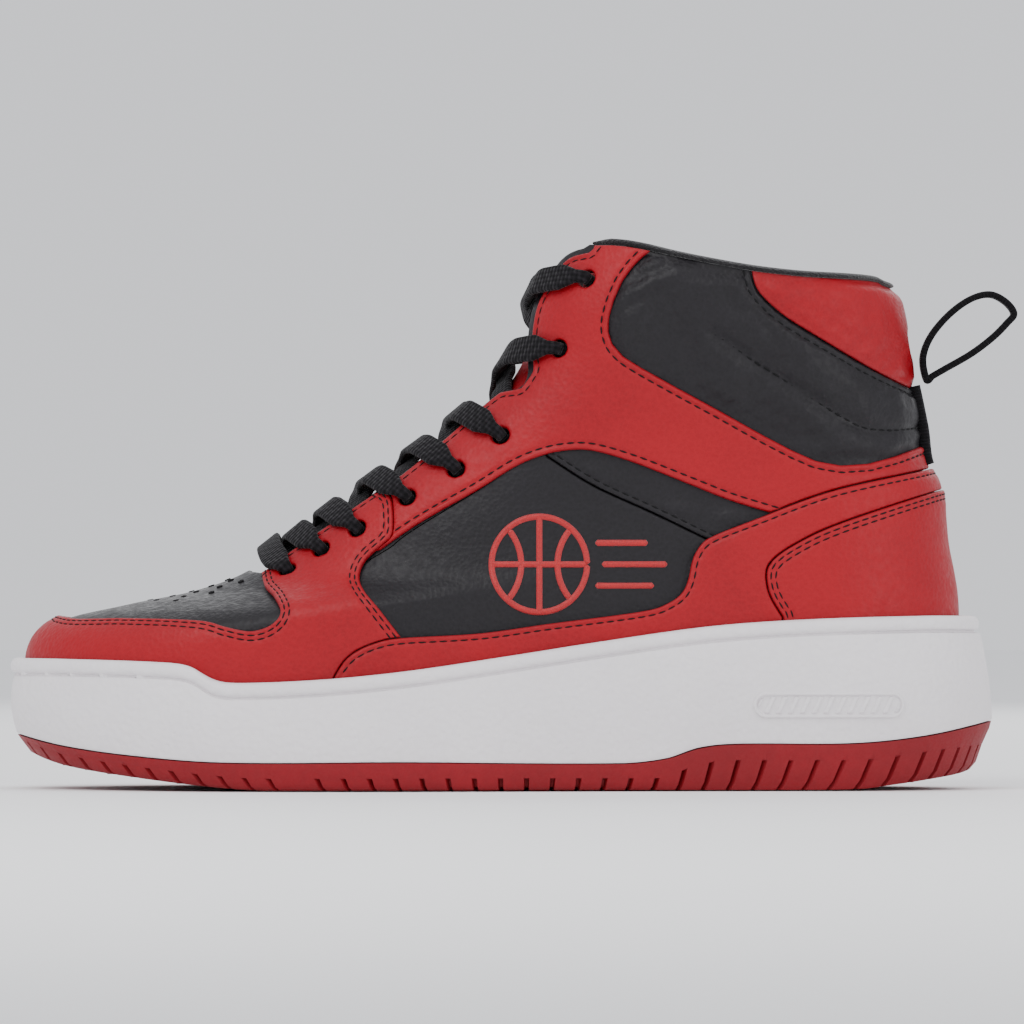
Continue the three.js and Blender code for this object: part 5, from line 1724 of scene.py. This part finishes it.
def satin(name, lines, side, width, material, slot):
    """Raised satin-stitch lines: a low round cord with a ridge for every thread."""
    section = [(math.cos(a), math.sin(a)) for a in np.linspace(0, math.pi, 7)] + [(-0.5, -0.4), (0.5, -0.4)]
    blocks, faces, first = [], [], 0
    for line in lines:
        line = np.asarray(line, float)
        run = np.concatenate([[0], np.cumsum(np.linalg.norm(np.diff(line, axis=0), axis=1))])
        at = np.arange(0, run[-1], SATIN_SPACING)
        line = np.stack([np.interp(at, run, line[:, k]) for k in (0, 1)], 1)
        level, step = form_place(line[:, 0], line[:, 1])
        p, n = form_point(level, side * step), form_normal(level, side * step)
        tangent = np.gradient(p, axis=0)
        tangent /= np.linalg.norm(tangent, axis=1, keepdims=True)
        across = np.cross(n, tangent)
        ridge = 0.16 * np.abs(np.sin(math.pi * at / SATIN_THREAD_PITCH))
        end = np.minimum(1, np.minimum(at, at[-1] - at) / 0.8 + 0.25)
        strips = []
        for u, v in section:
            lift = (0.5 * v + (ridge * v if v > 0 else 0)) * end
            strips.append(p + n * (0.05 + lift)[:, None] + across * (u * width / 2 * end)[:, None])
        blocks.append(np.array(strips).transpose(1, 0, 2).reshape(-1, 3))
        faces += tube_faces(len(p), len(section), first)
        first += len(p) * len(section)
    return outward(mesh_object(name, np.concatenate(blocks), faces, material, 80, slot=slot))


def make_emblem():
    """A plain embroidered ball with three trailing lines."""
    x, z, r = EMBLEM_X, EMBLEM_Z, EMBLEM_RADIUS
    lines = [
        arc_line(x, z, r, 0, 360, 120),
        np.array([[x - r, z], [x + r, z]]),
        np.array([[x, z - r], [x, z + r]]),
        arc_line(x - 1.5 * r, z, 1.12 * r, -40, 40),
        arc_line(x + 1.5 * r, z, 1.12 * r, 140, 220),
    ]
    for lift, start, end in ((6.5, 17, 33), (0, 19, 39), (-6.5, 17, 35)):
        lines.append(np.array([[x + start, z + lift], [x + end, z + lift]]))
    satin("embroidered_ball", lines, -1, SATIN_WIDTH, SATIN_THREAD, "red_leather")


PLAQUE_X, PLAQUE_Z, PLAQUE_HALF, PLAQUE_RISE = 96.0, 25.8, 23.2, 4.1
PLAQUE_RIM = [(0, -0.25), (0.25, 0.7), (0.55, 0.95), (1.0, 0.9), (1.25, 0.1), (1.6, 0.05)]
PLAQUE_RIB = 0.8
RIB_PITCH = 3.6


def wall_point(x, z, side, out=0.0):
    """Place on the cup's wall at a side-view place."""
    base = outsole_top(x) + GAP
    _, back, inset = wall_ends((z - base) / (lip(x) - WALL_TOP - base))
    part = np.where(x > back - SOLE_BACK_ROUND,
                    np.sin(np.arccos(np.clip(1 - (back - x) / SOLE_BACK_ROUND, 0, 1))), 1)
    y = along(CENTRE, x) + side * part * (along(SOLE_WIDTH, x) - inset + out)
    return np.stack([x, y, z], 1)


def make_plaques():
    """A blank moulded badge with slanted ribs on each side of the heel."""
    for side_name, side in SIDES:
        us = np.linspace(-1, 1, 190)
        vs = np.linspace(-1, 1, 46)
        U, V = np.meshgrid(us, vs)
        across = PLAQUE_HALF * U
        rise = PLAQUE_RISE * V
        straight_half = PLAQUE_HALF - PLAQUE_RISE
        past = np.maximum(np.abs(across) - straight_half, 0)
        away = np.hypot(past, rise)
        shrink = np.where(away > PLAQUE_RISE, PLAQUE_RISE / np.maximum(away, 1e-6), 1)
        across = np.where(past > 0, np.sign(across) * (straight_half + past * shrink), across)
        rise = rise * shrink
        edge = PLAQUE_RISE - np.hypot(np.maximum(np.abs(across) - straight_half, 0), rise)
        ribs = smooth((np.cos((across - 0.45 * rise) / RIB_PITCH * 2 * math.pi) - 0.1) / 0.5)
        height = profile(edge, PLAQUE_RIM) + PLAQUE_RIB * ribs * smooth((edge - 1.5) / 0.4)
        x = (PLAQUE_X + across).ravel()
        z = (PLAQUE_Z + rise).ravel()
        top = wall_point(x, z, side, height.ravel())
        under = wall_point(x, z, side, -0.6)
        rows, columns = U.shape
        count = rows * columns
        index = np.arange(count).reshape(rows, columns)
        quads = np.stack([index[:-1, :-1], index[:-1, 1:], index[1:, 1:], index[1:, :-1]], -1).reshape(-1, 4)
        rim = np.concatenate([index[0, :], index[1:, -1], index[-1, -2::-1], index[-2:0:-1, 0]])
        following = np.roll(rim, -1)
        sides = np.stack([following, rim, rim + count, following + count], 1)
        faces = quads.tolist() + (quads[:, ::-1] + count).tolist() + sides.tolist()
        outward(mesh_object("heel_plaque_" + side_name, np.concatenate([top, under]), faces, WHITE_RUBBER, 50,
                            slot="white_rubber"))


make_stitches()
make_tread()
make_perforations()
make_emblem()
make_plaques()

# ---- CAD nodes that stay: hidden stiffeners, boards and foams, and the lace's tips ----

for node_name, finish in (
    ("midsole_wedge", FOAM), ("collar_foam", DARK_FOAM), ("strobel_board", BOARD), ("toe_puff", BOARD),
    ("heel_counter", BOARD), ("aglet_lateral", AGLET_PLASTIC), ("aglet_medial", AGLET_PLASTIC),
):
    kept_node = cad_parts[node_name]
    kept_node.data.materials.clear()
    kept_node.data.materials.append(finish)
